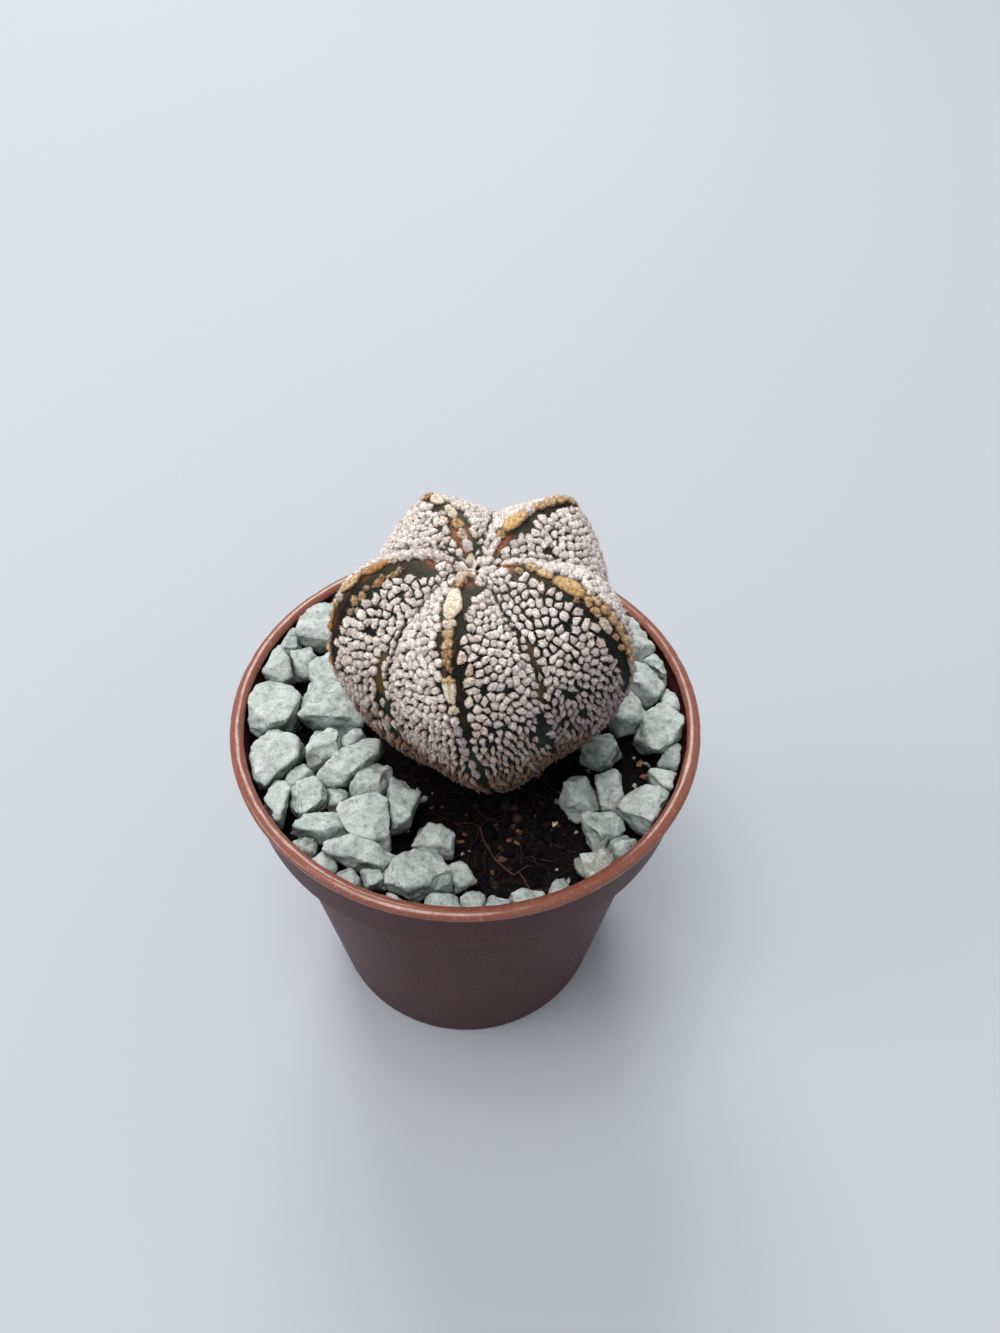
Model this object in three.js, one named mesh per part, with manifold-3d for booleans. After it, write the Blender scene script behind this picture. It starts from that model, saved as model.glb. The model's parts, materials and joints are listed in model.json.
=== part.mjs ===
// Potted five-ribbed star cactus: a round nursery pot, its soil, a mulch of crushed stone and the plant.
// Millimetres, +Z up. The origin is on the pot's axis, in the plane that the pot stands on.
import * as THREE from 'three';
import { mergeVertices } from 'three/addons/utils/BufferGeometryUtils.js';
import Module from 'manifold-3d';

const wasm = await Module();
wasm.setup();

// Clearance between pieces that touch, and the distance at which points of one mesh are joined
const CLEARANCE = 0.3;
const WELD_DISTANCE = 1e-5;

// Pot: a thin moulded nursery pot, 55 mm across its rim
const POT_SEGMENTS = 72;
const POT_HEIGHT = 49.5;
const RIM_RADIUS = 27.5;
const RIM_BEAD_DEPTH = 1.1;
const RIM_BEAD_WIDTH = 1.6;
const RIM_BEAD_STEPS = 6;
const COLLAR_DEPTH = 8.8;
const COLLAR_TOP_RADIUS = 26.8;
const COLLAR_FOOT_RADIUS = 26.2;
const WALL_TOP_RADIUS = 24.2;
const FOOT_RADIUS = 19.4;
const FOOT_CORNER = 0.6;
const FOOT_RING_WIDTH = 2.2;
const FOOT_RING_HEIGHT = 1.2;
const WALL = 0.9;
const STEP_HEIGHT = 0.7;
const DRAIN_HOLES = 6;
const DRAIN_HOLE_RADIUS = 2;
const DRAIN_CIRCLE_RADIUS = 11;
const DRILL_LENGTH = 6;
const DRILL_SIDES = 16;

// Soil: dished and bare at the front, drawn up a little round the plant
const SOIL_SEED = 11;
const SOIL_SEGMENTS = 48;
const SOIL_RINGS = 14;
const SOIL_BELOW_RIM = 6.8;
const SOIL_RISE = 1.6;
const MOUND_SHARE = 0.7;
const MOUND_INNER_RADIUS = 8;
const MOUND_OUTER_RADIUS = 13;
const CRUMB_HEIGHT = 0.8;
const CRUMB_DIP = 0.3;
const BARE_PATCH = { x: 4.5, y: -13.5, halfWidth: 9, halfDepth: 10, core: 0.6, inner: 8, outer: 20 };

// Plant: five sharp ribs, slightly twisted, leaning a little to the left
const BODY_X = 2.2;
const BODY_Y = 0;
const BODY_ABOVE_RIM = 9.5;
const BODY_LEAN = THREE.MathUtils.degToRad(-5.9);
const TWIST = THREE.MathUtils.degToRad(22.5);
const EQUATOR = 6 / 11;
const FLANK_CURVE = 1.1;
const COLUMNS_PER_RIB = 14;
const BODY_ROWS = 42;
const FIRST_ROW = 0.035;
const NORMAL_STEP = 0.02;
const SKIN_BELOW = 0.45;
const FLECK_HEIGHT = 0.65;
const PAD_HEIGHT = 0.6;
const PAD_GAP_HEIGHT = 0.1;
const ROWS_PER_PAD = 3;
const NECK_FADE = 0.12;
const WOOL_HEIGHT = 0.5;
const ROOT_SEGMENTS = 20;
const ROOT_TOP = -16.4;
const ROOT_TIP = -30.5;
const ROOT_NECK_RADIUS = 4.1;
const ROOT_TIP_RADIUS = 1.2;
const ROOT_WAIST = 0.9;
const UNDERSIDE_POINTS = 4;

// Ribs: direction at the equator, in degrees from +X, and reach against the mean
const RIBS = [
  { direction: -162, reach: 1.01 },
  { direction: -92.6, reach: 1.01 },
  { direction: -21.2, reach: 1.04 },
  { direction: 51.2, reach: 1.025 },
  { direction: 123.6, reach: 0.95 },
];

// Outlines over the flecks of a ridge and of a furrow, from the crown to the neck:
// radius and height above the body's centre
const RIDGE = [
  [0, 11.7], [4.2, 15.4], [8.9, 15.4], [13.3, 13.4], [15.8, 9.1], [16.6, 4.4],
  [16.1, 0], [15.1, -4.1], [13.4, -7.8], [11.3, -11.3], [8, -14.2], [4.4, -17.2],
];
const FURROW = [
  [0, 11.7], [3.6, 13.4], [7.2, 12.5], [10.8, 10.8], [13.2, 7.8], [14.1, 3.8],
  [13.9, 0], [13.1, -3.6], [12, -7], [10.2, -10.4], [7.3, -13.4], [4.4, -17.2],
];

// Crushed stone as it lies on the soil: x, y, length, width, height, turn in degrees
const STONES = [
  [-19, 14, 6.8, 5.2, 4.6, 80], [-22.8, 11, 4.8, 2.7, 3.8, 104],
  [-24, 6.6, 5, 3.7, 3.9, -55], [-20.9, 7.9, 5, 3.2, 3.4, -60],
  [-17.2, 6.4, 5, 4.4, 3.6, 40], [-22.9, 0.2, 8, 5.5, 4.4, 72],
  [-16, 0.4, 8, 5.8, 4.4, -8], [-21.8, -7.4, 6.8, 5.4, 3.8, 60],
  [-16.3, -5.5, 4.6, 3.4, 4.2, 95], [-13.2, -3.9, 3, 2, 3.4, 20],
  [-12.7, -7.2, 8.4, 2.9, 4, 50], [-10.3, -9.7, 4.8, 3.5, 3.6, 70],
  [-18.6, -8.9, 3, 2.4, 2.6, 30], [-20.6, -12.9, 6, 2.4, 3.4, 82],
  [-17.2, -12.1, 4, 3.6, 3.8, 45], [-14.2, -11.8, 2.6, 2.2, 2.8, 0],
  [-15.2, -15.7, 5.8, 2.8, 3.4, -4], [-9.9, -14.9, 6.8, 5.4, 4, -35],
  [-7, -12.8, 5.8, 3.5, 4.6, 78], [-10.6, -19.2, 8, 2.7, 3.2, -12],
  [-2.8, -15.7, 4.3, 3, 2.6, -10], [-4.5, -20.6, 6.8, 5.2, 3.4, 22],
  [-0.1, -20.1, 3.4, 2.4, 2.6, -50], [-8.9, -21.4, 2.6, 1.9, 2.6, 10],
  [-11.4, -21.9, 3, 2.1, 2.6, -32], [-14.3, -20.1, 2.7, 1.8, 2.6, -35],
  [-16.8, -18, 2.8, 2, 2.4, -40], [-1.3, -24, 3.6, 2.2, 2.4, 4],
  [1.6, -23.6, 2.8, 2, 2.8, 30], [4.3, -23.6, 2.5, 1.9, 2.6, -20],
  [7.5, -22.9, 4, 2.1, 2.6, 18], [10.8, -21.6, 2.2, 1.7, 2.8, 30],
  [-6.1, -24, 2.4, 1.6, 2.2, -14],
  [16, -3.9, 5, 3.2, 3.2, 62], [16.7, -9.3, 5.5, 2.7, 3.2, 94],
  [13.3, -9.6, 5, 3.6, 3, -62], [15.8, -14, 4.2, 3.5, 3.2, -52],
  [18.1, -17.1, 3.6, 2.4, 2.6, -60], [14.8, -18.3, 4, 2.7, 2.6, 15],
  [20.7, -12.4, 6.2, 5, 3.8, -22], [23, -8.3, 3.8, 2.7, 3, -60],
  [24.6, -4.6, 3.4, 2.9, 3, 60], [22.9, -1.3, 5.6, 5, 4.2, 40],
  [18.8, 1.5, 5.4, 4, 3.6, -45], [24.9, 3.2, 4.8, 2.8, 3.4, 75],
  [20.4, 6.6, 7.6, 4, 4, -30], [23.2, 8.8, 5.4, 2.4, 3.6, -50],
  [20.4, 12.8, 6.8, 5.2, 4.6, 112],
  [-13.8, 10.8, 5.6, 5, 3.6, 40], [-14.4, 18.4, 7, 5.2, 4, 38],
  [-7, 21.6, 7.6, 5, 3.8, 15], [1.2, 22.4, 7.8, 5, 4, -5],
  [9.4, 21, 7.6, 5.2, 3.8, -26], [15.8, 17.2, 6.4, 5, 3.8, -45],
  [-7.2, 15.4, 7.4, 6, 3.6, 20], [1, 16, 7.8, 6, 3.8, 4],
  [9.2, 14, 7.6, 6, 3.6, -28],
];
const STONE_SEED = 7;
const STONE_TILT = 0.22;
const STONE_FOOT_MARGIN = 1;
const CHOPS = 7;
const CHOP_TURN = 2.4;
const CHOP_STRAY = 1.2;
const CHOP_NEAREST = 0.88;
const CHOP_SPREAD = 0.2;
const ROOM_SIDES = 40;
const TRIED_DIRECTIONS = 300;

// Looks
const LOOKS = {
  plastic: { color: 0x8f4f42, roughness: 0.45 },
  soil: { color: 0x241a15, roughness: 0.97 },
  skin: { color: 0xc9bbb3, roughness: 0.9 },
  stone: { color: 0xaab6ac, roughness: 0.92 },
};

function seededRandom(seed) {
  let state = seed;
  return () => {
    state = (state * 1664525 + 1013904223) % 4294967296;
    return state / 4294967296;
  };
}

function toSolid(geometry) {
  const bare = geometry.clone();
  bare.deleteAttribute('normal');
  bare.deleteAttribute('uv');
  const merged = mergeVertices(bare, WELD_DISTANCE);
  return new wasm.Manifold(new wasm.Mesh({
    numProp: 3,
    vertProperties: new Float32Array(merged.attributes.position.array),
    triVerts: new Uint32Array(merged.index.array),
  }));
}

function toGeometry(solid) {
  const mesh = solid.getMesh();
  const geometry = new THREE.BufferGeometry();
  const places = new Float32Array(mesh.vertProperties);
  geometry.setAttribute('position', new THREE.BufferAttribute(places, 3));
  geometry.setIndex(new THREE.BufferAttribute(new Uint32Array(mesh.triVerts), 1));
  return geometry;
}

function turned(points, segments) {
  const profile = points.map(([radius, height]) => new THREE.Vector2(radius, height));
  return new THREE.LatheGeometry(profile, segments).rotateX(Math.PI / 2);
}

// A closed skin over rings of equal count, listed from the top down, with a point to close each end
function ringSkin(rings, topPoint, bottomPoint, splitOtherWay) {
  const count = rings[0].length;
  const points = [topPoint, ...rings.flat(), bottomPoint];
  const last = points.length - 1;
  const at = (row, column) => 1 + row * count + (column % count);
  const faces = [];
  for (let column = 0; column < count; column++) {
    faces.push(0, at(0, column), at(0, column + 1));
    faces.push(last, at(rings.length - 1, column + 1), at(rings.length - 1, column));
  }
  for (let row = 0; row < rings.length - 1; row++) {
    for (let column = 0; column < count; column++) {
      const [a, b] = [at(row, column), at(row + 1, column)];
      const [c, d] = [at(row + 1, column + 1), at(row, column + 1)];
      if (splitOtherWay(row, column)) {
        faces.push(a, b, d, b, c, d);
      } else {
        faces.push(a, b, c, a, c, d);
      }
    }
  }
  const geometry = new THREE.BufferGeometry();
  const places = points.flatMap((point) => point.toArray());
  geometry.setAttribute('position', new THREE.Float32BufferAttribute(places, 3));
  geometry.setIndex(faces);
  return geometry;
}

// Pot

const COLLAR_FOOT = POT_HEIGHT - COLLAR_DEPTH;
const FLOOR_TOP = FOOT_RING_HEIGHT + WALL;

function innerRadius(height) {
  const above = THREE.MathUtils.clamp((height - COLLAR_FOOT) / COLLAR_DEPTH, 0, 1);
  return THREE.MathUtils.lerp(COLLAR_FOOT_RADIUS, COLLAR_TOP_RADIUS, above) - WALL;
}

function potGeometry() {
  const beadMiddle = RIM_RADIUS - RIM_BEAD_WIDTH / 2;
  const bead = [];
  for (let step = 0; step <= RIM_BEAD_STEPS; step++) {
    const angle = Math.PI * (step / RIM_BEAD_STEPS);
    bead.push([
      beadMiddle + (RIM_BEAD_WIDTH / 2) * Math.cos(angle),
      POT_HEIGHT - RIM_BEAD_DEPTH / 2 + (RIM_BEAD_DEPTH / 2) * Math.sin(angle),
    ]);
  }
  const profile = [
    [FOOT_RADIUS - FOOT_RING_WIDTH, 0],
    [FOOT_RADIUS - FOOT_CORNER, 0],
    [FOOT_RADIUS, FOOT_CORNER],
    [WALL_TOP_RADIUS, COLLAR_FOOT - STEP_HEIGHT],
    [COLLAR_FOOT_RADIUS, COLLAR_FOOT],
    [COLLAR_TOP_RADIUS, POT_HEIGHT - RIM_BEAD_DEPTH],
    ...bead,
    [COLLAR_TOP_RADIUS - WALL, POT_HEIGHT - RIM_BEAD_DEPTH],
    [COLLAR_FOOT_RADIUS - WALL, COLLAR_FOOT],
    [WALL_TOP_RADIUS - WALL, COLLAR_FOOT - STEP_HEIGHT],
    [FOOT_RADIUS - WALL, FLOOR_TOP],
    [0, FLOOR_TOP],
    [0, FOOT_RING_HEIGHT],
    [FOOT_RADIUS - FOOT_RING_WIDTH, FOOT_RING_HEIGHT],
    [FOOT_RADIUS - FOOT_RING_WIDTH, 0],
  ];
  let pot = toSolid(turned(profile, POT_SEGMENTS));
  for (let hole = 0; hole < DRAIN_HOLES; hole++) {
    const angle = (hole / DRAIN_HOLES) * 2 * Math.PI;
    const [x, y] = [DRAIN_CIRCLE_RADIUS * Math.cos(angle), DRAIN_CIRCLE_RADIUS * Math.sin(angle)];
    const radius = DRAIN_HOLE_RADIUS;
    const drill = new THREE.CylinderGeometry(radius, radius, DRILL_LENGTH, DRILL_SIDES);
    drill.rotateX(Math.PI / 2);
    drill.translate(x, y, FLOOR_TOP);
    pot = pot.subtract(toSolid(drill));
  }
  return toGeometry(pot);
}

// Plant

function outline(points) {
  return new THREE.SplineCurve(points.map(([radius, height]) => new THREE.Vector2(radius, height)));
}

const ridge = outline(RIDGE);
const furrow = outline(FURROW);

// One point of the bare skin. A place on it is the rib's number plus a fraction that runs
// from one furrow (0) over the ridge (0.5) to the next furrow (1).
function skinPoint(ribPlace, along) {
  const rib = Math.floor(ribPlace);
  const across = ribPlace - rib;
  const direction = (number) => {
    const turns = Math.floor(number / RIBS.length);
    return RIBS[number - turns * RIBS.length].direction + 360 * turns;
  };
  const here = direction(rib);
  const side = across < 0.5 ? (direction(rib - 1) + here) / 2 : (here + direction(rib + 1)) / 2;
  const nearness = 1 - Math.abs(across - 0.5) * 2;
  const degrees = THREE.MathUtils.lerp(side, here, nearness);
  const angle = THREE.MathUtils.degToRad(degrees) + TWIST * (along - EQUATOR);
  const wall = furrow.getPoint(along);
  const crest = ridge.getPoint(along);
  const reach = RIBS[((rib % RIBS.length) + RIBS.length) % RIBS.length].reach;
  crest.x *= reach;
  wall.lerp(crest, nearness ** FLANK_CURVE);
  return new THREE.Vector3(wall.x * Math.cos(angle), wall.x * Math.sin(angle), wall.y);
}

function skinNormal(ribPlace, along) {
  const round = skinPoint(ribPlace + NORMAL_STEP, along).sub(skinPoint(ribPlace - NORMAL_STEP, along));
  const below = skinPoint(ribPlace, Math.min(along + NORMAL_STEP, 1));
  const down = below.sub(skinPoint(ribPlace, Math.max(along - NORMAL_STEP, 0)));
  return down.cross(round).normalize();
}

// Height of the woolly flecks, the bare bands by each ridge and the pads of wool along it
function relief(row, column, along) {
  const place = column % COLUMNS_PER_RIB;
  const fromRidge = Math.abs(place - COLUMNS_PER_RIB / 2);
  const fade = THREE.MathUtils.smoothstep(1 - along, 0, NECK_FADE);
  if (fromRidge === 0) {
    const inGap = row % ROWS_PER_PAD === ROWS_PER_PAD - 1;
    return (inGap ? PAD_GAP_HEIGHT : PAD_HEIGHT) * fade;
  }
  if (fromRidge === 1) {
    return 0;
  }
  return ((row + column) % 2 === 0 ? FLECK_HEIGHT : 0) * fade;
}

function bodyGeometry() {
  const columns = COLUMNS_PER_RIB * RIBS.length;
  const rings = [];
  for (let row = 0; row < BODY_ROWS; row++) {
    const along = THREE.MathUtils.lerp(FIRST_ROW, 1, row / (BODY_ROWS - 1));
    const ring = [];
    for (let column = 0; column < columns; column++) {
      const ribPlace = column / COLUMNS_PER_RIB;
      const normal = skinNormal(ribPlace, along);
      const height = relief(row, column, along) - SKIN_BELOW;
      ring.push(skinPoint(ribPlace, along).addScaledVector(normal, height));
    }
    rings.push(ring);
  }
  const crown = new THREE.Vector3(0, 0, RIDGE[0][1] + WOOL_HEIGHT);
  const neck = new THREE.Vector3(0, 0, RIDGE[RIDGE.length - 1][1]);
  return ringSkin(rings, crown, neck, (row, column) => (row + column) % 2 === 0);
}

function rootProfile(spare) {
  return [
    [0, ROOT_TOP],
    [ROOT_NECK_RADIUS + spare, ROOT_TOP],
    [ROOT_NECK_RADIUS * ROOT_WAIST + spare, (ROOT_TOP * 2 + ROOT_TIP) / 3],
    [ROOT_TIP_RADIUS + spare, ROOT_TIP],
    [0, ROOT_TIP - spare],
  ].reverse();
}

function stand(geometry) {
  geometry.rotateY(BODY_LEAN);
  geometry.translate(BODY_X, BODY_Y, POT_HEIGHT + BODY_ABOVE_RIM);
  return geometry;
}

function cactusGeometry() {
  const body = toSolid(bodyGeometry());
  const root = toSolid(turned(rootProfile(0), ROOT_SEGMENTS));
  return stand(toGeometry(body.add(root)));
}

// The room that the underside of the plant and its root take up in the soil
function plantRoom() {
  const lowest = RIDGE.slice(-UNDERSIDE_POINTS);
  const underside = lowest.map(([radius, height]) => [radius + 2 * CLEARANCE, height]);
  const top = underside[0][1];
  const bottom = underside[underside.length - 1][1] - CLEARANCE;
  const profile = [[0, bottom], ...underside.reverse(), [0, top]];
  const hollow = toSolid(stand(turned(profile, ROOT_SEGMENTS * 2)));
  return hollow.add(toSolid(stand(turned(rootProfile(2 * CLEARANCE), ROOT_SEGMENTS))));
}

// Soil

const SOIL_TOP = POT_HEIGHT - SOIL_BELOW_RIM;
const soilRandom = seededRandom(SOIL_SEED);

function soilHeight(x, y) {
  const fromPlant = Math.hypot(x - BODY_X, y - BODY_Y);
  const mound = 1 - THREE.MathUtils.smoothstep(fromPlant, MOUND_INNER_RADIUS, MOUND_OUTER_RADIUS);
  const fromPatch = Math.hypot(x - BARE_PATCH.x, y - BARE_PATCH.y);
  const slope = THREE.MathUtils.smoothstep(fromPatch, BARE_PATCH.inner, BARE_PATCH.outer);
  const across = (x - BARE_PATCH.x) / BARE_PATCH.halfWidth;
  const deep = (y - BARE_PATCH.y) / BARE_PATCH.halfDepth;
  const bare = 1 - THREE.MathUtils.smoothstep(Math.hypot(across, deep), BARE_PATCH.core, 1);
  const crumb = CRUMB_HEIGHT * bare * (soilRandom() - CRUMB_DIP);
  return SOIL_TOP + SOIL_RISE * Math.max(slope, MOUND_SHARE * mound) + crumb;
}

const soilRadius = innerRadius(SOIL_TOP) - CLEARANCE;
const soilRings = [];
for (let ring = 1; ring <= SOIL_RINGS; ring++) {
  const radius = soilRadius * (ring / SOIL_RINGS);
  const points = [];
  for (let segment = 0; segment < SOIL_SEGMENTS; segment++) {
    const angle = ((segment + 0.5 * (ring % 2)) / SOIL_SEGMENTS) * 2 * Math.PI;
    const [x, y] = [radius * Math.cos(angle), radius * Math.sin(angle)];
    points.push(new THREE.Vector3(x, y, soilHeight(x, y)));
  }
  soilRings.push(points);
}

function soilGeometry() {
  const skirt = [
    [innerRadius(COLLAR_FOOT) - CLEARANCE, COLLAR_FOOT + CLEARANCE],
    [WALL_TOP_RADIUS - WALL - CLEARANCE, COLLAR_FOOT - STEP_HEIGHT],
    [FOOT_RADIUS - WALL - CLEARANCE, FLOOR_TOP + CLEARANCE],
  ];
  const rings = [...soilRings];
  for (const [radius, height] of skirt) {
    const top = soilRings[soilRings.length - 1];
    const level = top.map((point) => new THREE.Vector3(point.x, point.y, 0));
    rings.push(level.map((point) => point.setLength(radius).setZ(height)));
  }
  const middle = new THREE.Vector3(0, 0, SOIL_TOP + SOIL_RISE);
  const floor = new THREE.Vector3(0, 0, FLOOR_TOP + CLEARANCE);
  const filled = toSolid(ringSkin(rings, middle, floor, (row) => row % 2 === 0));
  return toGeometry(filled.subtract(plantRoom()));
}

function soilTopUnder(x, y, reach) {
  const near = soilRings.flat().filter((point) => Math.hypot(point.x - x, point.y - y) < reach);
  return Math.max(SOIL_TOP, ...near.map((point) => point.z));
}

// Crushed stone

function corners(solid) {
  const flat = solid.getMesh().vertProperties;
  const points = [];
  for (let start = 0; start < flat.length; start += 3) {
    points.push(new THREE.Vector3(flat[start], flat[start + 1], flat[start + 2]));
  }
  return points;
}

function keepBelow(solid, direction, distance) {
  return solid.trimByPlane(direction.clone().negate().toArray(), -distance);
}

// A box with its corners and edges struck off by flat breaks
function brokenStone(length, width, height, random) {
  let stone = toSolid(new THREE.BoxGeometry(length, width, height));
  for (let chop = 0; chop < CHOPS; chop++) {
    const climb = 1 - (2 * (chop + 0.5)) / CHOPS;
    const angle = chop * CHOP_TURN + random() * CHOP_STRAY;
    const level = Math.sqrt(1 - climb * climb);
    const direction = new THREE.Vector3(level * Math.cos(angle), level * Math.sin(angle), climb);
    const ovalReach = Math.hypot(direction.x * length, direction.y * width, direction.z * height) / 2;
    stone = keepBelow(stone, direction, ovalReach * (CHOP_NEAREST + CHOP_SPREAD * random()));
  }
  return stone;
}

// Directions spread evenly over a ball, tried for the plane that parts two stones
const directions = [];
for (let index = 0; index < TRIED_DIRECTIONS; index++) {
  const climb = 1 - (2 * (index + 0.5)) / TRIED_DIRECTIONS;
  const angle = index * Math.PI * (3 - Math.sqrt(5));
  const level = Math.sqrt(1 - climb * climb);
  directions.push(new THREE.Vector3(level * Math.cos(angle), level * Math.sin(angle), climb));
}

// The plane along which two convex things overlap least: its direction and the two near faces
function partingPlane(first, second) {
  let best = { gap: -Infinity };
  for (const direction of directions) {
    const near = Math.max(...first.map((point) => point.dot(direction)));
    const far = Math.min(...second.map((point) => point.dot(direction)));
    if (far - near > best.gap) {
      best = { gap: far - near, direction, near, far };
    }
  }
  return best;
}

function stoneSolids(cactus) {
  const random = seededRandom(STONE_SEED);
  const plantCorners = corners(toSolid(cactus)).filter((point) => point.z > SOIL_TOP);
  const room = new THREE.CylinderGeometry(
    innerRadius(POT_HEIGHT) - CLEARANCE,
    innerRadius(COLLAR_FOOT) - CLEARANCE,
    COLLAR_DEPTH,
    ROOM_SIDES,
  );
  room.rotateX(Math.PI / 2);
  room.translate(0, 0, COLLAR_FOOT + COLLAR_DEPTH / 2);
  const roomSolid = toSolid(room);
  const stones = STONES.map(([x, y, length, width, height, turn]) => {
    const geometry = toGeometry(brokenStone(length, width, height, random));
    geometry.rotateX(STONE_TILT * (2 * random() - 1));
    geometry.rotateY(STONE_TILT * (2 * random() - 1));
    geometry.rotateZ(THREE.MathUtils.degToRad(turn));
    geometry.computeBoundingBox();
    const floor = soilTopUnder(x, y, length / 2 + STONE_FOOT_MARGIN) + CLEARANCE;
    geometry.translate(x, y, floor - geometry.boundingBox.min.z);
    let stone = toSolid(geometry).intersect(roomSolid);
    const plane = partingPlane(corners(stone), plantCorners);
    if (plane.gap < CLEARANCE) {
      stone = keepBelow(stone, plane.direction, plane.far - CLEARANCE);
    }
    return stone;
  });
  for (let first = 0; first < stones.length; first++) {
    for (let second = first + 1; second < stones.length; second++) {
      const plane = partingPlane(corners(stones[first]), corners(stones[second]));
      if (plane.gap < CLEARANCE) {
        const middle = (plane.near + plane.far) / 2;
        stones[first] = keepBelow(stones[first], plane.direction, middle - CLEARANCE / 2);
        const back = plane.direction.clone().negate();
        stones[second] = keepBelow(stones[second], back, -middle - CLEARANCE / 2);
      }
    }
  }
  return stones;
}

// Whole object

function piece(name, geometry, look) {
  const mesh = new THREE.Mesh(geometry, new THREE.MeshStandardMaterial({ ...look, metalness: 0 }));
  mesh.name = name;
  return mesh;
}

const pottedCactus = new THREE.Group();
const cactus = cactusGeometry();
pottedCactus.add(piece('pot', potGeometry(), LOOKS.plastic));
pottedCactus.add(piece('soil', soilGeometry(), LOOKS.soil));
pottedCactus.add(piece('cactus', cactus, LOOKS.skin));
stoneSolids(cactus).forEach((stone, index) => {
  const number = String(index + 1).padStart(2, '0');
  pottedCactus.add(piece(`stone_${number}`, toGeometry(stone), LOOKS.stone));
});

export default pottedCactus;
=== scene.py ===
import json
import math

import bmesh
import bpy
import numpy as np
from mathutils import Matrix, Vector, noise

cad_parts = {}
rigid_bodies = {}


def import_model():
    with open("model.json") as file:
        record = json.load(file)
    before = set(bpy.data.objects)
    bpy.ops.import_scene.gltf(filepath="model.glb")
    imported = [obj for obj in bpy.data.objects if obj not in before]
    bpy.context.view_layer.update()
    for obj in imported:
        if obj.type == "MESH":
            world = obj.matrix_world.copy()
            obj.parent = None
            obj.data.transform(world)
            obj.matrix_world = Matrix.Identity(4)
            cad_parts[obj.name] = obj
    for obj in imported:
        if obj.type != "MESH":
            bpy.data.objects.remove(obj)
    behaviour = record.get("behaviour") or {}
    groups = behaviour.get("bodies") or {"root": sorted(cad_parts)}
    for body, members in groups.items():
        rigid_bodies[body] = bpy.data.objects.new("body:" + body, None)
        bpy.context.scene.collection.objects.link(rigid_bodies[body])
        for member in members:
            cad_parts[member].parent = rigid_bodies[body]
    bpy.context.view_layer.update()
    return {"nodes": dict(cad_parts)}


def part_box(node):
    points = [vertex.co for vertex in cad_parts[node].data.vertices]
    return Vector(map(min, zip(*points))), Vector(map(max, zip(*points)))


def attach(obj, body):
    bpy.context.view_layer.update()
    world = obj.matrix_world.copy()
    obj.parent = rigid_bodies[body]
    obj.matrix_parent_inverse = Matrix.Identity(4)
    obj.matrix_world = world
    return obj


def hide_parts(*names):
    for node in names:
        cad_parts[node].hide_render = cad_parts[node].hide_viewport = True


# The looks of a potted five-ribbed star cactus: nursery pot, peat soil, crushed stone and the woolly plant.
# Lengths in this script are millimetres, and become metres where a mesh is made.
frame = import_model()

MM = 0.001
BODY = "root"


def linear(red, green, blue):
    """The scene colour of a screen colour given from 0 to 255."""
    shares = [value / 255 for value in (red, green, blue)]
    return np.array([s / 12.92 if s < 0.04045 else ((s + 0.055) / 1.055) ** 2.4 for s in shares])


# Camera: place and directions in the part's frame, and the photograph's frame in pixels
CAMERA_PLACE = (3.753, -74.378, 140.966)
CAMERA_RIGHT = Vector((0.99945, 0.02494, 0.02197))
CAMERA_UP = Vector((-0.03324, 0.74989, 0.66074))
FOCAL_PIXELS = 1000
FRAME_HEIGHT_PIXELS = 1333
SENSOR = 36

# Pot
pot_low, pot_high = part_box("pot")
RIM_HEIGHT = pot_high.z / MM
RIM_RADIUS = pot_high.x / MM
RIM_BEAD_DEPTH = 1.1
RIM_BEAD_WIDTH = 1.6
COLLAR_FOOT = RIM_HEIGHT - 8.8
COLLAR_TOP_RADIUS = 26.8
COLLAR_FOOT_RADIUS = 26.2
WALL_TOP_RADIUS = 24.2
WALL_TOP = COLLAR_FOOT - 0.7
WALL = 0.9
FOOT_RADIUS = 19.4
FOOT_CORNER = 0.6
FOOT_RING_WIDTH = 2.2
FOOT_RING_HEIGHT = 1.2
FLOOR_TOP = FOOT_RING_HEIGHT + WALL
DRAIN_HOLES = 6
DRAIN_HOLE_RADIUS = 2
DRAIN_CIRCLE_RADIUS = 11
DRILL_LENGTH = 6
DRILL_SIDES = 32
POT_SEGMENTS = 192
NICK_DEPTH = 0.07

# Soil
SOIL_TOP = RIM_HEIGHT - 6.8
SOIL_RISE = 1.6
MOUND_SHARE = 0.7
MOUND_INNER_RADIUS = 8
MOUND_OUTER_RADIUS = 13
BARE_PATCH = (4.5, -13.5)
BARE_PATCH_SPREAD = (9, 10)
CLEARANCE = 0.3
SOIL_RINGS = 64
SOIL_SEGMENTS = 240
HOLE_DEPTHS = (1, 0.75, 0.5, 0.25)
HOLE_MOUTH_BELOW = 1.4
SOIL_SEED = 17
CRUMBS = 4600
CRUMB_KINDS = 8
BIT_KINDS = 6
CLODS = 360
FIBRES = 220
FIBRE_STEPS = 9

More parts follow.
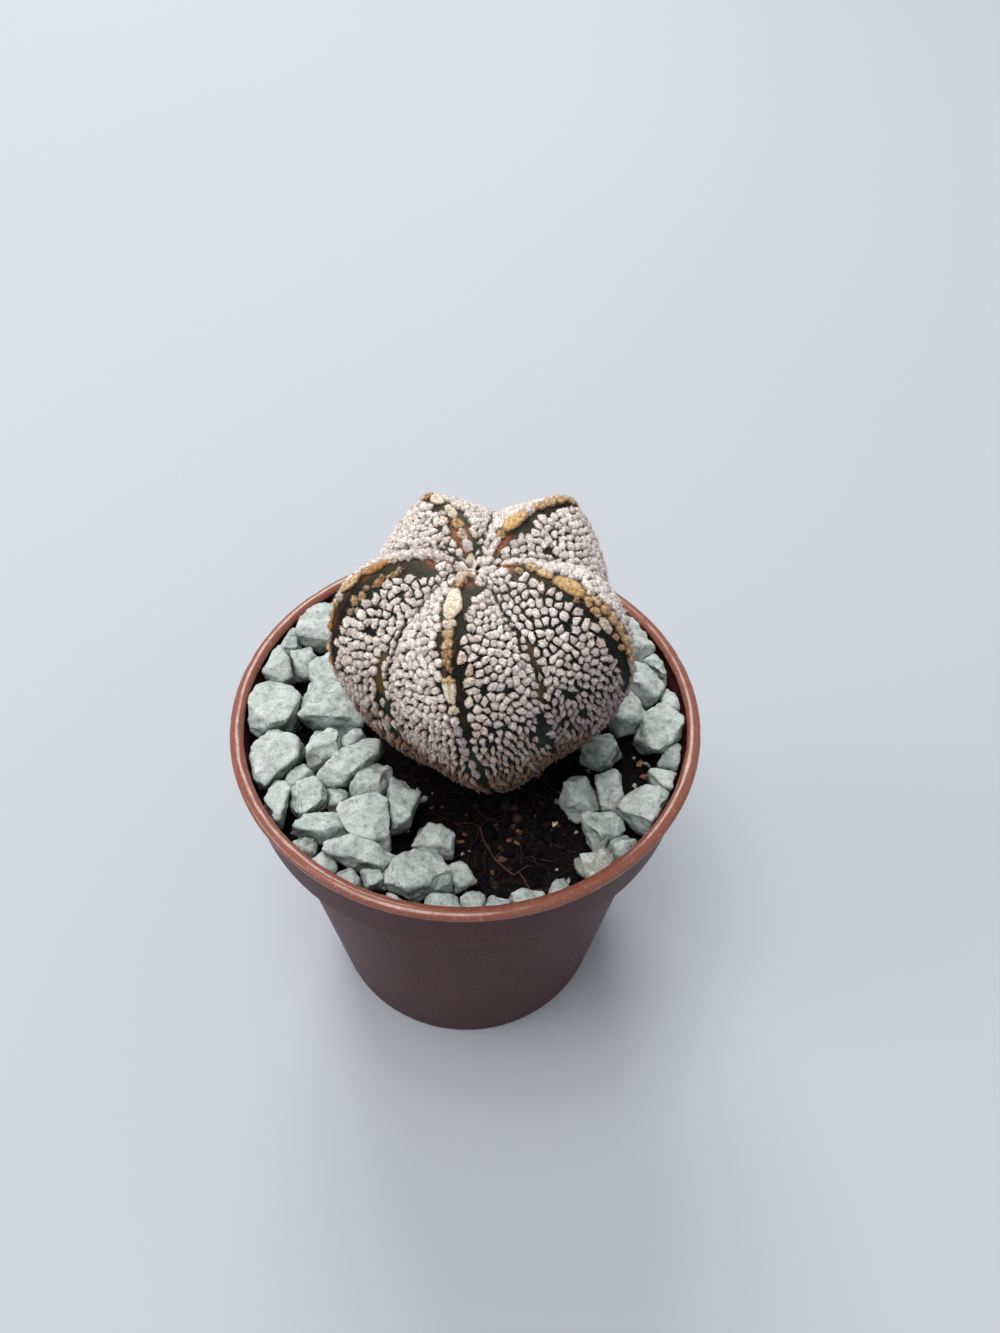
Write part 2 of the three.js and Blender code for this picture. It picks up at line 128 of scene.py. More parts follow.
# Plant: the bare skin of five sharp ribs, in the body's own frame
BODY_CENTRE = np.array([2.2, 0.0, RIM_HEIGHT + 9.5])
BODY_LEAN = math.radians(-5.9)
TWIST = math.radians(22.5)
EQUATOR = 6 / 11
FLANK_CURVE = 1.1
SKIN_BELOW = 0.45
RIB_DIRECTIONS = np.array([-162, -92.6, -21.2, 51.2, 123.6])
RIB_REACH = np.array([1.01, 1.01, 1.04, 1.025, 0.95])
RIBS = len(RIB_DIRECTIONS)
RIDGE = np.array([
    (0, 11.7), (4.2, 15.4), (8.9, 15.4), (13.3, 13.4), (15.8, 9.1), (16.6, 4.4),
    (16.1, 0), (15.1, -4.1), (13.4, -7.8), (11.3, -11.3), (8, -14.2), (4.4, -17.2),
])
FURROW = np.array([
    (0, 11.7), (3.6, 13.4), (7.2, 12.5), (10.8, 10.8), (13.2, 7.8), (14.1, 3.8),
    (13.9, 0), (13.1, -3.6), (12, -7), (10.2, -10.4), (7.3, -13.4), (4.4, -17.2),
])
ROOT = ((3.9, -18.6), (3.7, -21.1), (2.6, -26), (1.2, -30.2))
SKIN_COLUMNS = 48
SKIN_ROWS = 150
SLOPE_STEP = 0.004
# Just short of the furrow, past which a place belongs to the next rib
TO_FURROW = 0.4999

# Wool: screen colours
PALE = linear(242, 232, 225)
WARM = linear(242, 228, 217)
# Buff and mauve-grey are the lower wool as it looks in shade; mixed in lower down and on the right they are
# painted shade
MAUVE = linear(184, 171, 172)
BUFF = linear(200, 180, 166)
CREAM = linear(240, 226, 200)
OCHRE = linear(234, 204, 158)
GOLD = linear(228, 192, 134)
ORANGE = linear(210, 154, 94)
STAIN = linear(196, 142, 78)
RUST = linear(120, 74, 38)
BARK = linear(138, 92, 66)
BARK_DARK = linear(66, 44, 35)
# Multiplier on the wool towards the foot of each fleck: painted shade where the flecks meet
WOOL_FOOT_PAINTED_SHADE = np.array([0.62, 0.52, 0.46])
WOOLS = {
    "pale": PALE, "mauve": MAUVE, "buff": BUFF, "cream": CREAM, "ochre": OCHRE, "gold": GOLD,
    "orange": ORANGE,
}

# Skin: screen colours
SKIN_DARK = linear(30, 31, 28)
SKIN_UPPER = linear(72, 73, 60)
SKIN_GREEN = linear(42, 50, 45)
SKIN_BRICK = linear(150, 94, 70)
SKIN_OLIVE = linear(92, 74, 42)
SKIN_BROWN = linear(80, 61, 46)
SKIN_BARK = linear(62, 42, 32)
SKIN_RUST = linear(106, 68, 38)


def mixed(low, high, share):
    """Blends two values or colours by a share, or by an array of shares."""
    share = np.asarray(share)[..., None] if np.ndim(low) else np.asarray(share)
    return np.asarray(low) + (np.asarray(high) - np.asarray(low)) * share


def smooth(value, low, high):
    share = np.clip((np.asarray(value, float) - low) / (high - low), 0, 1)
    return share * share * (3 - 2 * share)


def unit(vectors):
    return vectors / (np.linalg.norm(vectors, axis=-1, keepdims=True) + 1e-12)


def dot(a, b):
    return (a * b).sum(-1, keepdims=True)


def rough(points, size, shift=0.0):
    """Soft noise from -1 to 1 at each point, with lumps of that size."""
    offset = Vector((shift, shift * 1.7, shift * 2.3))
    return np.array([noise.noise(Vector(p) / size + offset) for p in points])


# Nodes

def result(node, name=None):
    return next(s for s in node.outputs if s.enabled and name in (None, s.name))


def add(tree, kind, inputs=None, **settings):
    """A node in a tree, with its settings, and its inputs linked or set by name or number."""
    node = tree.nodes.new(kind)
    for key, value in settings.items():
        setattr(node, key, value)
    for key, value in (inputs or {}).items():
        named = isinstance(key, str)
        socket = next(s for s in node.inputs if s.enabled and s.name == key) if named else node.inputs[key]
        if isinstance(value, bpy.types.Node):
            value = result(value)
        if isinstance(value, bpy.types.NodeSocket):
            tree.links.new(value, socket)
        else:
            socket.default_value = value
    return node


class Finish:
    """A procedural material on Object coordinates, built node by node."""

    def __init__(self, name, **constants):
        self.material = bpy.data.materials.new(name)
        self.material.use_nodes = True
        self.tree = self.material.node_tree
        self.tree.nodes.clear()
        inputs = {key.replace("_", " "): value for key, value in constants.items()}
        self.shader = self.add("ShaderNodeBsdfPrincipled", inputs)
        self.add("ShaderNodeOutputMaterial", {"Surface": self.shader})
        self.place = result(self.add("ShaderNodeTexCoord"), "Object")
        self.normal = None

    def add(self, kind, inputs=None, **settings):
        return add(self.tree, kind, inputs, **settings)

    def attribute(self, name, part="Color"):
        return result(self.add("ShaderNodeAttribute", attribute_name=name), part)

    def grain(self, size, detail=2.0, roughness=0.5, shift=0.0):
        """Noise with lumps of that many millimetres."""
        moved = self.add("ShaderNodeVectorMath", {0: self.place, 1: (shift, shift, shift)}, operation="ADD")
        inputs = {"Vector": moved, "Scale": 1 / (size * MM), "Detail": detail, "Roughness": roughness}
        return result(self.add("ShaderNodeTexNoise", inputs))

    def cells(self, size):
        """Distance from the middles of cells of about that many millimetres."""
        inputs = {"Vector": self.place, "Scale": 1 / (size * MM)}
        return result(self.add("ShaderNodeTexVoronoi", inputs), "Distance")

    def times(self, first, second):
        return self.add("ShaderNodeMath", {0: first, 1: second}, operation="MULTIPLY")

    def minus(self, first, second):
        return self.add("ShaderNodeMath", {0: first, 1: second}, operation="SUBTRACT")

    def spread(self, value, low, high, to_low=0.0, to_high=1.0):
        inputs = {0: value, 1: low, 2: high, 3: to_low, 4: to_high}
        return self.add("ShaderNodeMapRange", inputs, interpolation_type="SMOOTHSTEP")

    def mix(self, share, first, second, mode="MIX"):
        first, second = [(*c, 1) if isinstance(c, np.ndarray) else c for c in (first, second)]
        return self.add("ShaderNodeMix", {0: share, 6: first, 7: second}, data_type="RGBA", blend_type=mode)

    def shaded(self, colour, factor):
        """A colour made darker or lighter by a factor."""
        grey = self.add("ShaderNodeCombineColor", {0: factor, 1: factor, 2: factor})
        return self.mix(1.0, colour, grey, mode="MULTIPLY")

    def axis(self, vector, name):
        return result(self.add("ShaderNodeSeparateXYZ", {"Vector": vector}), name)

    def link(self, name, value):
        self.tree.links.new(result(value), self.shader.inputs[name])

    def colour(self, value):
        self.link("Base Color", value)

    def bump(self, height, depth, strength=1.0):
        inputs = {"Strength": strength, "Distance": depth * MM, "Height": height}
        if self.normal:
            inputs["Normal"] = self.normal
        self.normal = result(self.add("ShaderNodeBump", inputs))
        self.tree.links.new(self.normal, self.shader.inputs["Normal"])


def wool_finish():
    """Felted wool: stained in patches by its gold value, and darker towards its foot, which is painted shade
    where the flecks meet.
    """
    finish = Finish(
        "plant_wool", Roughness=0.95, Sheen_Weight=0.3, Sheen_Roughness=0.5, Specular_IOR_Level=0.1,
    )
    tint = finish.attribute("tint")
    gold, lift = finish.attribute("gold", "Fac"), finish.attribute("lift", "Fac")
    patches = finish.grain(0.42, 3, shift=0.3)
    clumps = finish.grain(0.26, 3, 0.6, 1.1)
    fibres = finish.grain(0.1, 3, 0.75)
    stained = finish.times(gold, finish.spread(patches, 0.46, 0.6))
    low = finish.times(finish.spread(lift, 0.85, 0.25), finish.spread(patches, 0.66, 0.4, 0.2, 1.0))
    rimmed = finish.times(finish.spread(gold, 0.0, 0.6), low)
    woolly = finish.mix(rimmed, finish.mix(stained, tint, STAIN), RUST)
    clumped = finish.shaded(woolly, finish.spread(clumps, 0.34, 0.66, 0.68, 1.22))
    speckled = finish.shaded(clumped, finish.spread(fibres, 0.36, 0.64, 0.72, 1.24))
    # Darker towards each fleck's foot: painted shade in the gaps between flecks
    finish.colour(finish.mix(finish.spread(lift, 0.8, -0.1), speckled, WOOL_FOOT_PAINTED_SHADE, mode="MULTIPLY"))
    finish.bump(clumps, 0.3, 0.9)
    finish.bump(fibres, 0.1, 0.9)
    return finish.material


def skin_finish():
    finish = Finish("plant_skin", Roughness=0.75, Specular_IOR_Level=0.06)
    speckle = finish.grain(0.16, 3, 0.65)
    cloud = finish.grain(1.6, 3, shift=0.7)
    toned = finish.shaded(finish.attribute("tint"), finish.spread(cloud, 0.3, 0.7, 0.78, 1.2))
    specks = finish.spread(finish.grain(0.09, 1, shift=1.9), 0.66, 0.8, 0.0, 0.25)
    finish.colour(finish.mix(specks, finish.shaded(toned, finish.spread(speckle, 0.3, 0.7, 0.6, 1.35)), PALE))
    finish.bump(speckle, 0.05, 0.5)
    return finish.material


def plastic_finish():
    """Brown-red moulded plastic, redder, glossier, scuffed and dust-flecked on the rim. The darker wall below
    it is painted shade.
    """
    # The wall colour is darker and more purple than the rim colour: painted shade with a bluish cast on one
    # plastic
    wall, rim, scuff = linear(64, 27, 31), linear(118, 68, 54), linear(190, 154, 142)
    finish = Finish("pot_plastic", Specular_IOR_Level=0.15, Coat_Roughness=0.2)
    height = finish.axis(finish.place, "Z")
    mottle = finish.grain(5, 4)
    fine = finish.grain(0.35, 3, 0.7)
    body = finish.shaded((*wall, 1), finish.spread(mottle, 0.3, 0.7, 0.92, 1.08))
    near_rim = finish.spread(height, (RIM_HEIGHT - 1.5) * MM, (RIM_HEIGHT - 0.8) * MM)
    toned = finish.mix(near_rim, body, rim)
    wear = finish.spread(finish.grain(0.5, 5, 0.75, 3.1), 0.54, 0.7, 0.0, 0.3)
    worn = finish.times(near_rim, wear)
    scuffed = finish.mix(worn, toned, scuff)
    dust = finish.spread(finish.cells(1.6), 0.035, 0.015, 0.0, 0.4)
    finish.colour(finish.mix(finish.times(dust, near_rim), scuffed, linear(225, 215, 205)))
    matt = finish.spread(fine, 0.3, 0.7, 0.4, 0.5)
    finish.link("Roughness", finish.minus(matt, finish.times(near_rim, 0.2)))
    gloss = finish.spread(finish.grain(1.4, 4, 0.7, 2.6), 0.35, 0.6, 0.4, 0.85)
    finish.link("Coat Weight", finish.times(near_rim, gloss))
    finish.bump(mottle, 0.1, 0.12)
    finish.bump(fine, 0.01, 0.2)
    return finish.material


def stone_finish():
    """Pale grey-green crushed stone, paler on upward faces, with fine pits."""
    finish = Finish("crushed_stone", Roughness=0.93, Specular_IOR_Level=0.2)
    tint = finish.attribute("tint")
    facing = finish.axis(result(finish.add("ShaderNodeNewGeometry"), "Normal"), "Z")
    cloud = finish.grain(1.2, 5, 0.65)
    grit = finish.grain(0.26, 4, 0.7, 2.2)
    green = finish.shaded(tint, finish.spread(cloud, 0.32, 0.68, 0.62, 1.14))
    # Paler on faces that point up, where the cloud noise is low
    upward_paling = finish.times(finish.spread(facing, -0.1, 0.75), finish.spread(cloud, 0.62, 0.36, 0.25, 0.85))
    paled_upward = finish.mix(upward_paling, green, linear(192, 199, 195))
    rust = finish.spread(finish.grain(2.4, 3, 0.6, 5.0), 0.6, 0.72, 0.0, 0.3)
    rusty = finish.mix(rust, paled_upward, linear(168, 150, 128))
    pits = finish.spread(finish.grain(0.3, 2, 0.6, 4.1), 0.27, 0.36, 0.6, 1.0)
    cracks = finish.spread(finish.grain(0.8, 5, 0.7, 6.3), 0.4, 0.46, 0.7, 1.0)
    broken = finish.shaded(finish.shaded(rusty, pits), cracks)
    finish.colour(finish.shaded(broken, finish.spread(grit, 0.3, 0.7, 0.82, 1.1)))
    finish.bump(cloud, 0.3, 0.6)
    finish.bump(pits, 0.08, 0.7)
    finish.bump(grit, 0.07, 0.8)
    return finish.material


def peat_finish():
    """Damp, near-black peat with brown bits in it."""
    finish = Finish("peat", Roughness=0.96, Specular_IOR_Level=0.03)
    clods = finish.grain(0.8, 5, 0.7)
    bits = finish.spread(finish.grain(0.45, 3, 0.7, 1.3), 0.56, 0.7)
    dark = finish.mix(finish.spread(clods, 0.3, 0.7), linear(10, 10, 13), linear(27, 23, 24))
    finish.colour(finish.mix(bits, dark, linear(50, 36, 29)))
    finish.bump(clods, 0.4, 0.8)
    finish.bump(finish.grain(0.15, 3, 0.7), 0.1, 0.8)
    return finish.material


def tinted_finish(name, roughness, depth):
    """A rough finish that takes its colour from each bit's own tint."""
    finish = Finish(name, Roughness=roughness, Specular_IOR_Level=0.08)
    fine = finish.grain(0.18, 4, 0.7)
    finish.colour(finish.shaded(finish.attribute("tint"), finish.spread(fine, 0.3, 0.7, 0.6, 1.3)))
    finish.bump(fine, depth, 0.7)
    return finish.material


def floor_finish():
    finish = Finish("pale_floor", Roughness=0.85)
    finish.colour(finish.mix(finish.grain(400, 2), linear(160, 164, 171), linear(165, 169, 175)))
    return finish.material


# Meshes

def mesh_object(name, points, faces, material=None, smooth_faces=True):
    mesh = bpy.data.meshes.new(name)
    mesh.from_pydata((np.asarray(points, float) * MM).tolist(), [], faces)
    mesh.polygons.foreach_set("use_smooth", [smooth_faces] * len(mesh.polygons))
    if material:
        mesh.materials.append(material)
    obj = bpy.data.objects.new(name, mesh)
    bpy.context.scene.collection.objects.link(obj)
    return obj


def set_values(obj, name, values):
    """Gives each point of a mesh a number, a vector or a colour."""
    values = np.asarray(values, np.float32)
    colours = name == "tint"
    if colours:
        values = np.concatenate([values, np.ones((len(values), 1), np.float32)], 1)
    kind = "FLOAT_COLOR" if colours else ("FLOAT_VECTOR" if values.ndim == 2 else "FLOAT")
    attribute = obj.data.attributes.new(name, kind, "POINT")
    key = {"FLOAT_COLOR": "color", "FLOAT_VECTOR": "vector", "FLOAT": "value"}[kind]
    attribute.data.foreach_set(key, values.ravel())


def points_of(obj):
    flat = np.zeros(len(obj.data.vertices) * 3, np.float32)
    obj.data.vertices.foreach_get("co", flat)
    return flat.reshape(-1, 3) / MM


def evaluated(obj, name):
    """The object with its modifiers, as a new plain mesh object. The old one is removed."""
    depsgraph = bpy.context.evaluated_depsgraph_get()
    mesh = bpy.data.meshes.new_from_object(obj.evaluated_get(depsgraph))
    mesh.name = name
    bpy.data.objects.remove(obj)
    made = bpy.data.objects.new(name, mesh)
    bpy.context.scene.collection.objects.link(made)
    return made


def finished(obj, slot, *nodes):
    """Hands a finished piece to the part: what it rides on and what it stands for. Its slot is not used."""
    if nodes:
        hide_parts(*nodes)
    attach(obj, BODY)


def grow(obj, tree, name, **values):
    """Runs a Geometry Nodes tree on an object and leaves a plain mesh."""
    modifier = obj.modifiers.new(tree.name, "NODES")
    modifier.node_group = tree
    for item in tree.interface.items_tree:
        if item.item_type == "SOCKET" and item.in_out == "INPUT" and item.name in values:
            modifier[item.identifier] = values[item.name]
    return evaluated(obj, name)


def new_tree(name, sockets):
    tree = bpy.data.node_groups.new(name, "GeometryNodeTree")
    tree.interface.new_socket("Geometry", in_out="INPUT", socket_type="NodeSocketGeometry")
    tree.interface.new_socket("Geometry", in_out="OUTPUT", socket_type="NodeSocketGeometry")
    for label, kind in sockets.items():
        tree.interface.new_socket(label, in_out="INPUT", socket_type="NodeSocket" + kind)
    return tree


def end_tree(tree, geometry, material):
    whole = add(tree, "GeometryNodeRealizeInstances", {"Geometry": geometry})
    coated = add(tree, "GeometryNodeSetMaterial", {"Geometry": whole, "Material": material})
    add(tree, "NodeGroupOutput", {"Geometry": coated})
    return tree


def scatter_tree():
    """Puts a shape of a collection on each point, picked, turned and sized by the point's own values."""
    sockets = {
        "Shapes": "Collection", "Size": "Float", "Finish": "Material",
        "Lump size": "Float", "Lump depth": "Float",
    }
    tree = new_tree("scatter_shapes", sockets)
    start = add(tree, "NodeGroupInput").outputs
    out, lie, size = [
        add(tree, "GeometryNodeInputNamedAttribute", {"Name": name}, data_type="FLOAT_VECTOR")
        for name in ("out", "lie", "size")
    ]
    turn_inputs = {"Primary Axis": out, "Secondary Axis": lie}
    turn = add(tree, "FunctionNodeAxesToRotation", turn_inputs, primary_axis="Z", secondary_axis="X")
    kind = add(tree, "GeometryNodeInputNamedAttribute", {"Name": "kind"}, data_type="FLOAT")
    sized = add(tree, "ShaderNodeVectorMath", {"Vector": size, "Scale": start["Size"]}, operation="SCALE")
    shapes_inputs = {"Collection": start["Shapes"], "Separate Children": True, "Reset Children": True}
    shapes = add(tree, "GeometryNodeCollectionInfo", shapes_inputs)
    placed = add(tree, "GeometryNodeInstanceOnPoints", {
        "Points": start["Geometry"], "Instance": shapes, "Pick Instance": True,
        "Instance Index": kind, "Rotation": turn, "Scale": sized,
    })
    whole = add(tree, "GeometryNodeRealizeInstances", {"Geometry": placed})
    lumps = lumpy_offset(tree, start["Lump size"], start["Lump depth"], 0.0)
    uneven = add(tree, "GeometryNodeSetPosition", {"Geometry": whole, "Offset": lumps})
    return end_tree(tree, uneven, start["Finish"])


def noise_inputs(tree, size, seed):
    """Where, and how large, the lumps of a noise are."""
    scale = add(tree, "ShaderNodeMath", {0: 1.0, 1: size}, operation="DIVIDE")
    return {"Vector": add(tree, "GeometryNodeInputPosition"), "W": seed, "Scale": scale}


def push_along(tree, height, low, high, depth):
    """A push along the normal, from fully in at a low height of the noise to fully out at a high one."""
    share = add(tree, "ShaderNodeMapRange", {0: height, 1: low, 2: high, 3: -1.0, 4: 1.0})
    push = add(tree, "ShaderNodeMath", {0: share, 1: depth}, operation="MULTIPLY")
    way = add(tree, "GeometryNodeInputNormal")
    return add(tree, "ShaderNodeVectorMath", {"Vector": way, "Scale": push}, operation="SCALE")


def lumpy_offset(tree, size, depth, seed):
    """Soft lumps and hollows of that size."""
    inputs = {**noise_inputs(tree, size, seed), "Detail": 3.0, "Roughness": 0.55}
    lumps = add(tree, "ShaderNodeTexNoise", inputs, noise_dimensions="4D")
    return push_along(tree, lumps, 0.3, 0.7, depth)


def broken_offset(tree, size, depth, seed):
    """Shallow bowls of that size with sharp ridges between them."""
    bowls = add(tree, "ShaderNodeTexVoronoi", noise_inputs(tree, size, seed), voronoi_dimensions="4D")
    return push_along(tree, result(bowls, "Distance"), 0.1, 0.8, depth)


def weather_tree():
    """Makes a surface uneven by two sizes of noise, as broken and weathered stone is."""
    sockets = {
        "Coarse size": "Float", "Coarse depth": "Float", "Fine size": "Float", "Fine depth": "Float",
        "Seed": "Float", "Finish": "Material",
    }
    tree = new_tree("weather_stone", sockets)
    start = add(tree, "NodeGroupInput").outputs
    surface = start["Geometry"]
    for label, make_push in (("Coarse", broken_offset), ("Fine", lumpy_offset)):
        push = make_push(tree, start[label + " size"], start[label + " depth"], start["Seed"])
        surface = add(tree, "GeometryNodeSetPosition", {"Geometry": surface, "Offset": push})
    return end_tree(tree, surface, start["Finish"])


class Shapes:
    """A collection of small shapes for scattering. It is emptied when the scattering is done."""

    def __init__(self, name, makers, smooth_faces=True):
        self.collection = bpy.data.collections.new(name)
        for number, (points, faces, values) in enumerate(makers):
            label = f"{name}_{number:02d}"
            obj = mesh_object(label, np.asarray(points) / MM, faces, smooth_faces=smooth_faces)
            for key, value in values.items():
                set_values(obj, key, value)
            bpy.context.scene.collection.objects.unlink(obj)
            self.collection.objects.link(obj)

    def scatter(self, tree, name, spots, material, lump_size=0.4, lump_depth=0.0):
        """Spots are arrays: place, out, lie, size, kind and tint, with any others that the finish reads."""
        points = mesh_object(name + "_points", spots["place"], [])
        for key, values in spots.items():
            if key != "place":
                set_values(points, key, values)
        made = grow(
            points, tree, name, Shapes=self.collection, Size=MM, Finish=material,
            **{"Lump size": lump_size * MM, "Lump depth": lump_depth * MM},
        )
        for key in ("out", "lie", "size", "kind"):
            made.data.attributes.remove(made.data.attributes[key])
        return made

    def clear(self):
        for obj in list(self.collection.objects):
            bpy.data.objects.remove(obj)
        bpy.data.collections.remove(self.collection)


def ring_faces(rings, count, closed=True):
    """Faces of a skin over rings of points, listed from the top down, with a point before and after them."""
    faces = []
    last = 1 + rings * count
    for column in range(count):
        after = (column + 1) % count
        faces.append((0, 1 + column, 1 + after))
        for row in range(rings - 1):
            a, b = 1 + row * count + column, 1 + row * count + after
            faces.append((a, a + count, b + count, b))
        if closed:
            start = 1 + (rings - 1) * count
            faces.append((last, start + after, start + column))
    return faces


# Small shapes

# Rings of a lump of wool from its top down: distance from its middle and height. A pad has more rings than
# a tuft. The knob is how uneven it is, and the first pads are the smooth ones, kept for the long pads.
TUFT_SIDES = 12
TUFT_RINGS = ((0.2, 0.98), (0.36, 0.8), (0.49, 0.45), (0.44, -0.35))
TUFT_KNOB = 0.22
TUFT_KINDS = 12
FLAKE_KNOB = 0.2
FLAKE_KINDS = 10
PAD_SIDES = 26
PAD_RINGS = (
    (0.08, 0.98), (0.16, 0.95), (0.24, 0.9), (0.32, 0.82), (0.39, 0.7), (0.45, 0.52), (0.49, 0.32),
    (0.5, 0.1), (0.4, -0.3),
)
PAD_KNOBS = (0.05, 0.07, 0.09, 0.16, 0.18, 0.2, 0.22, 0.2, 0.18, 0.16)
SMOOTH_PADS = 3


def woolly_lump(draw, sides, levels, knob):
    """A knobbly closed lump of wool about one unit across and high, with its foot sunk below zero."""
    points = [np.array([0, 0, levels[0][1] + 0.02])]
    lobes = [(count, draw.uniform(0, knob), draw.uniform(0, 2 * math.pi)) for count in (2, 3, 5)]
    for row, (radius, height) in enumerate(levels):
        for column in range(sides):
            angle = (column + 0.5 * (row % 2)) / sides * 2 * math.pi
            swell = 1 + sum(share * math.cos(count * (angle - start)) for count, share, start in lobes)
            swell += draw.uniform(-knob, knob) / 3
            rise = height * (1 + draw.uniform(-knob, knob) / 2) if height > 0 else height
            reach = radius * swell
            points.append(np.array([reach * math.cos(angle), reach * math.sin(angle), rise]))
    points.append(np.array([0, 0, levels[-1][1]]))
    return points, ring_faces(len(levels), sides), {"lift": np.clip([p[2] for p in points], 0, 1)}


def flake(draw):
    """A long tuft that narrows and thins towards its lower tip."""
    points, faces, values = woolly_lump(draw, TUFT_SIDES, TUFT_RINGS, FLAKE_KNOB)
    bend = draw.uniform(-0.25, 0.25)
    for point in points:
        towards_tip = float(smooth(point[0], -0.2, 0.5))
        point[1] = point[1] * (1 - 0.65 * towards_tip) + bend * point[0] ** 2
        point[2] *= 1 - 0.25 * towards_tip
    return points, faces, values


def crumb(draw, subdivisions, uneven):
    """A broken bit about one unit across."""
    shape = bmesh.new()
    bmesh.ops.create_icosphere(shape, subdivisions=subdivisions, radius=0.5)
    points = [np.array(v.co) * draw.uniform(1 - uneven, 1 + uneven * 0.5) for v in shape.verts]
    faces = [tuple(v.index for v in f.verts) for f in shape.faces]
    shape.free()
    return points, faces, {}


def strand(points, radii, sides):
    """A closed tube along points that tapers by its radii."""
    points = np.asarray(points, float)
    ways = unit(np.gradient(points, axis=0))
    across = unit(np.cross(ways, np.array([0.13, 0.21, 1.0])))
    up = np.cross(across, ways)
    made = [points[0]]
    for point, a, b, radius in zip(points, across, up, radii):
        for side in range(sides):
            angle = -side / sides * 2 * math.pi
            made.append(point + radius * (math.cos(angle) * a + math.sin(angle) * b))
    made.append(points[-1])
    return made, ring_faces(len(points), sides)


# Pot

def curve_points(centre, radii, start, end, steps):
    angles = np.radians(np.linspace(start, end, steps))
    return [(centre[0] + radii[0] * math.cos(a), centre[1] + radii[1] * math.sin(a)) for a in angles]


def straight(start, end, steps):
    return [tuple(mixed(np.array(start), np.array(end), (i + 1) / steps)) for i in range(steps)]


def pot_profile():
    """Radius and height from the middle of the underside, over the rim, to the middle of the inside floor."""
    ring_inner = FOOT_RADIUS - FOOT_RING_WIDTH
    bead_centre = (RIM_RADIUS - RIM_BEAD_WIDTH / 2, RIM_HEIGHT - RIM_BEAD_DEPTH / 2)
    bead_radii = (RIM_BEAD_WIDTH / 2, RIM_BEAD_DEPTH / 2)
    under_bead = RIM_HEIGHT - RIM_BEAD_DEPTH
    profile = straight((0, FOOT_RING_HEIGHT), (ring_inner, FOOT_RING_HEIGHT), 6)
    profile += [(ring_inner + 0.15, 0.15), (ring_inner + 0.3, 0), (FOOT_RADIUS - FOOT_CORNER - 0.2, 0)]
    profile += curve_points((FOOT_RADIUS - FOOT_CORNER, FOOT_CORNER), (FOOT_CORNER, FOOT_CORNER), -90, 0, 6)
    profile += straight((FOOT_RADIUS, FOOT_CORNER), (WALL_TOP_RADIUS, WALL_TOP), 16)
    profile += [(WALL_TOP_RADIUS + 0.3, WALL_TOP + 0.14), (COLLAR_FOOT_RADIUS - 0.3, COLLAR_FOOT - 0.1)]
    profile += curve_points((COLLAR_FOOT_RADIUS - 0.3, COLLAR_FOOT + 0.2), (0.3, 0.3), -60, 0, 4)
    profile += straight((COLLAR_FOOT_RADIUS, COLLAR_FOOT + 0.2), (COLLAR_TOP_RADIUS, under_bead - 0.15), 6)
    profile += curve_points(bead_centre, bead_radii, -70, 250, 22)
    inside = [
        (COLLAR_TOP_RADIUS - WALL, under_bead - 0.1), (COLLAR_FOOT_RADIUS - WALL, COLLAR_FOOT),
        (WALL_TOP_RADIUS - WALL, WALL_TOP), (FOOT_RADIUS - WALL, FLOOR_TOP), (0.8, FLOOR_TOP),
    ]
    for start, end, steps in zip(inside, inside[1:], (8, 2, 10, 6)):
        profile += straight(start, end, steps)
    return profile


def make_pot(material):
    """A smooth turned shell with small nicks on its rim, drilled for drainage."""
    profile = pot_profile()
    points = [(0, 0, FOOT_RING_HEIGHT)]
    for radius, height in profile:
        for segment in range(POT_SEGMENTS):
            angle = -segment / POT_SEGMENTS * 2 * math.pi
            points.append((radius * math.cos(angle), radius * math.sin(angle), height))
    points.append((0, 0, FLOOR_TOP))
    points = np.array(points)
    on_rim = smooth(points[:, 2], RIM_HEIGHT - 1.3, RIM_HEIGHT - 0.6)
    nicks = smooth(rough(points, 0.8, 3), 0.2, 0.6) + 0.5 * smooth(rough(points, 0.35, 8), 0.25, 0.6)
    middle = RIM_RADIUS - RIM_BEAD_WIDTH / 2
    bead = np.full((len(points), 3), RIM_HEIGHT - RIM_BEAD_DEPTH / 2)
    bead[:, :2] = unit(points[:, :2]) * middle
    points -= unit(points - bead) * (NICK_DEPTH * on_rim * nicks)[:, None]
    pot = mesh_object("pot_shell_uncut", points, ring_faces(len(profile), POT_SEGMENTS), material)
    drills = bmesh.new()
    radius = DRAIN_HOLE_RADIUS * MM
    for hole in range(DRAIN_HOLES):
        angle = hole / DRAIN_HOLES * 2 * math.pi
        way = Vector((math.cos(angle), math.sin(angle), 0))
        place = way * DRAIN_CIRCLE_RADIUS + Vector((0, 0, FLOOR_TOP))
        bmesh.ops.create_cone(
            drills, cap_ends=True, segments=DRILL_SIDES, radius1=radius, radius2=radius,
            depth=DRILL_LENGTH * MM, matrix=Matrix.Translation(place * MM),
        )
    drill = mesh_object("drills", [], [])
    drills.to_mesh(drill.data)
    drills.free()
    cut = pot.modifiers.new("drainage", "BOOLEAN")
    cut.operation = "DIFFERENCE"
    cut.solver = "EXACT"
    cut.object = drill
    shell = evaluated(pot, "pot_shell")
    bpy.data.objects.remove(drill)
    shell.data.materials.clear()
    shell.data.materials.append(material)
    finished(shell, "plastic", "pot")


# Plant skin

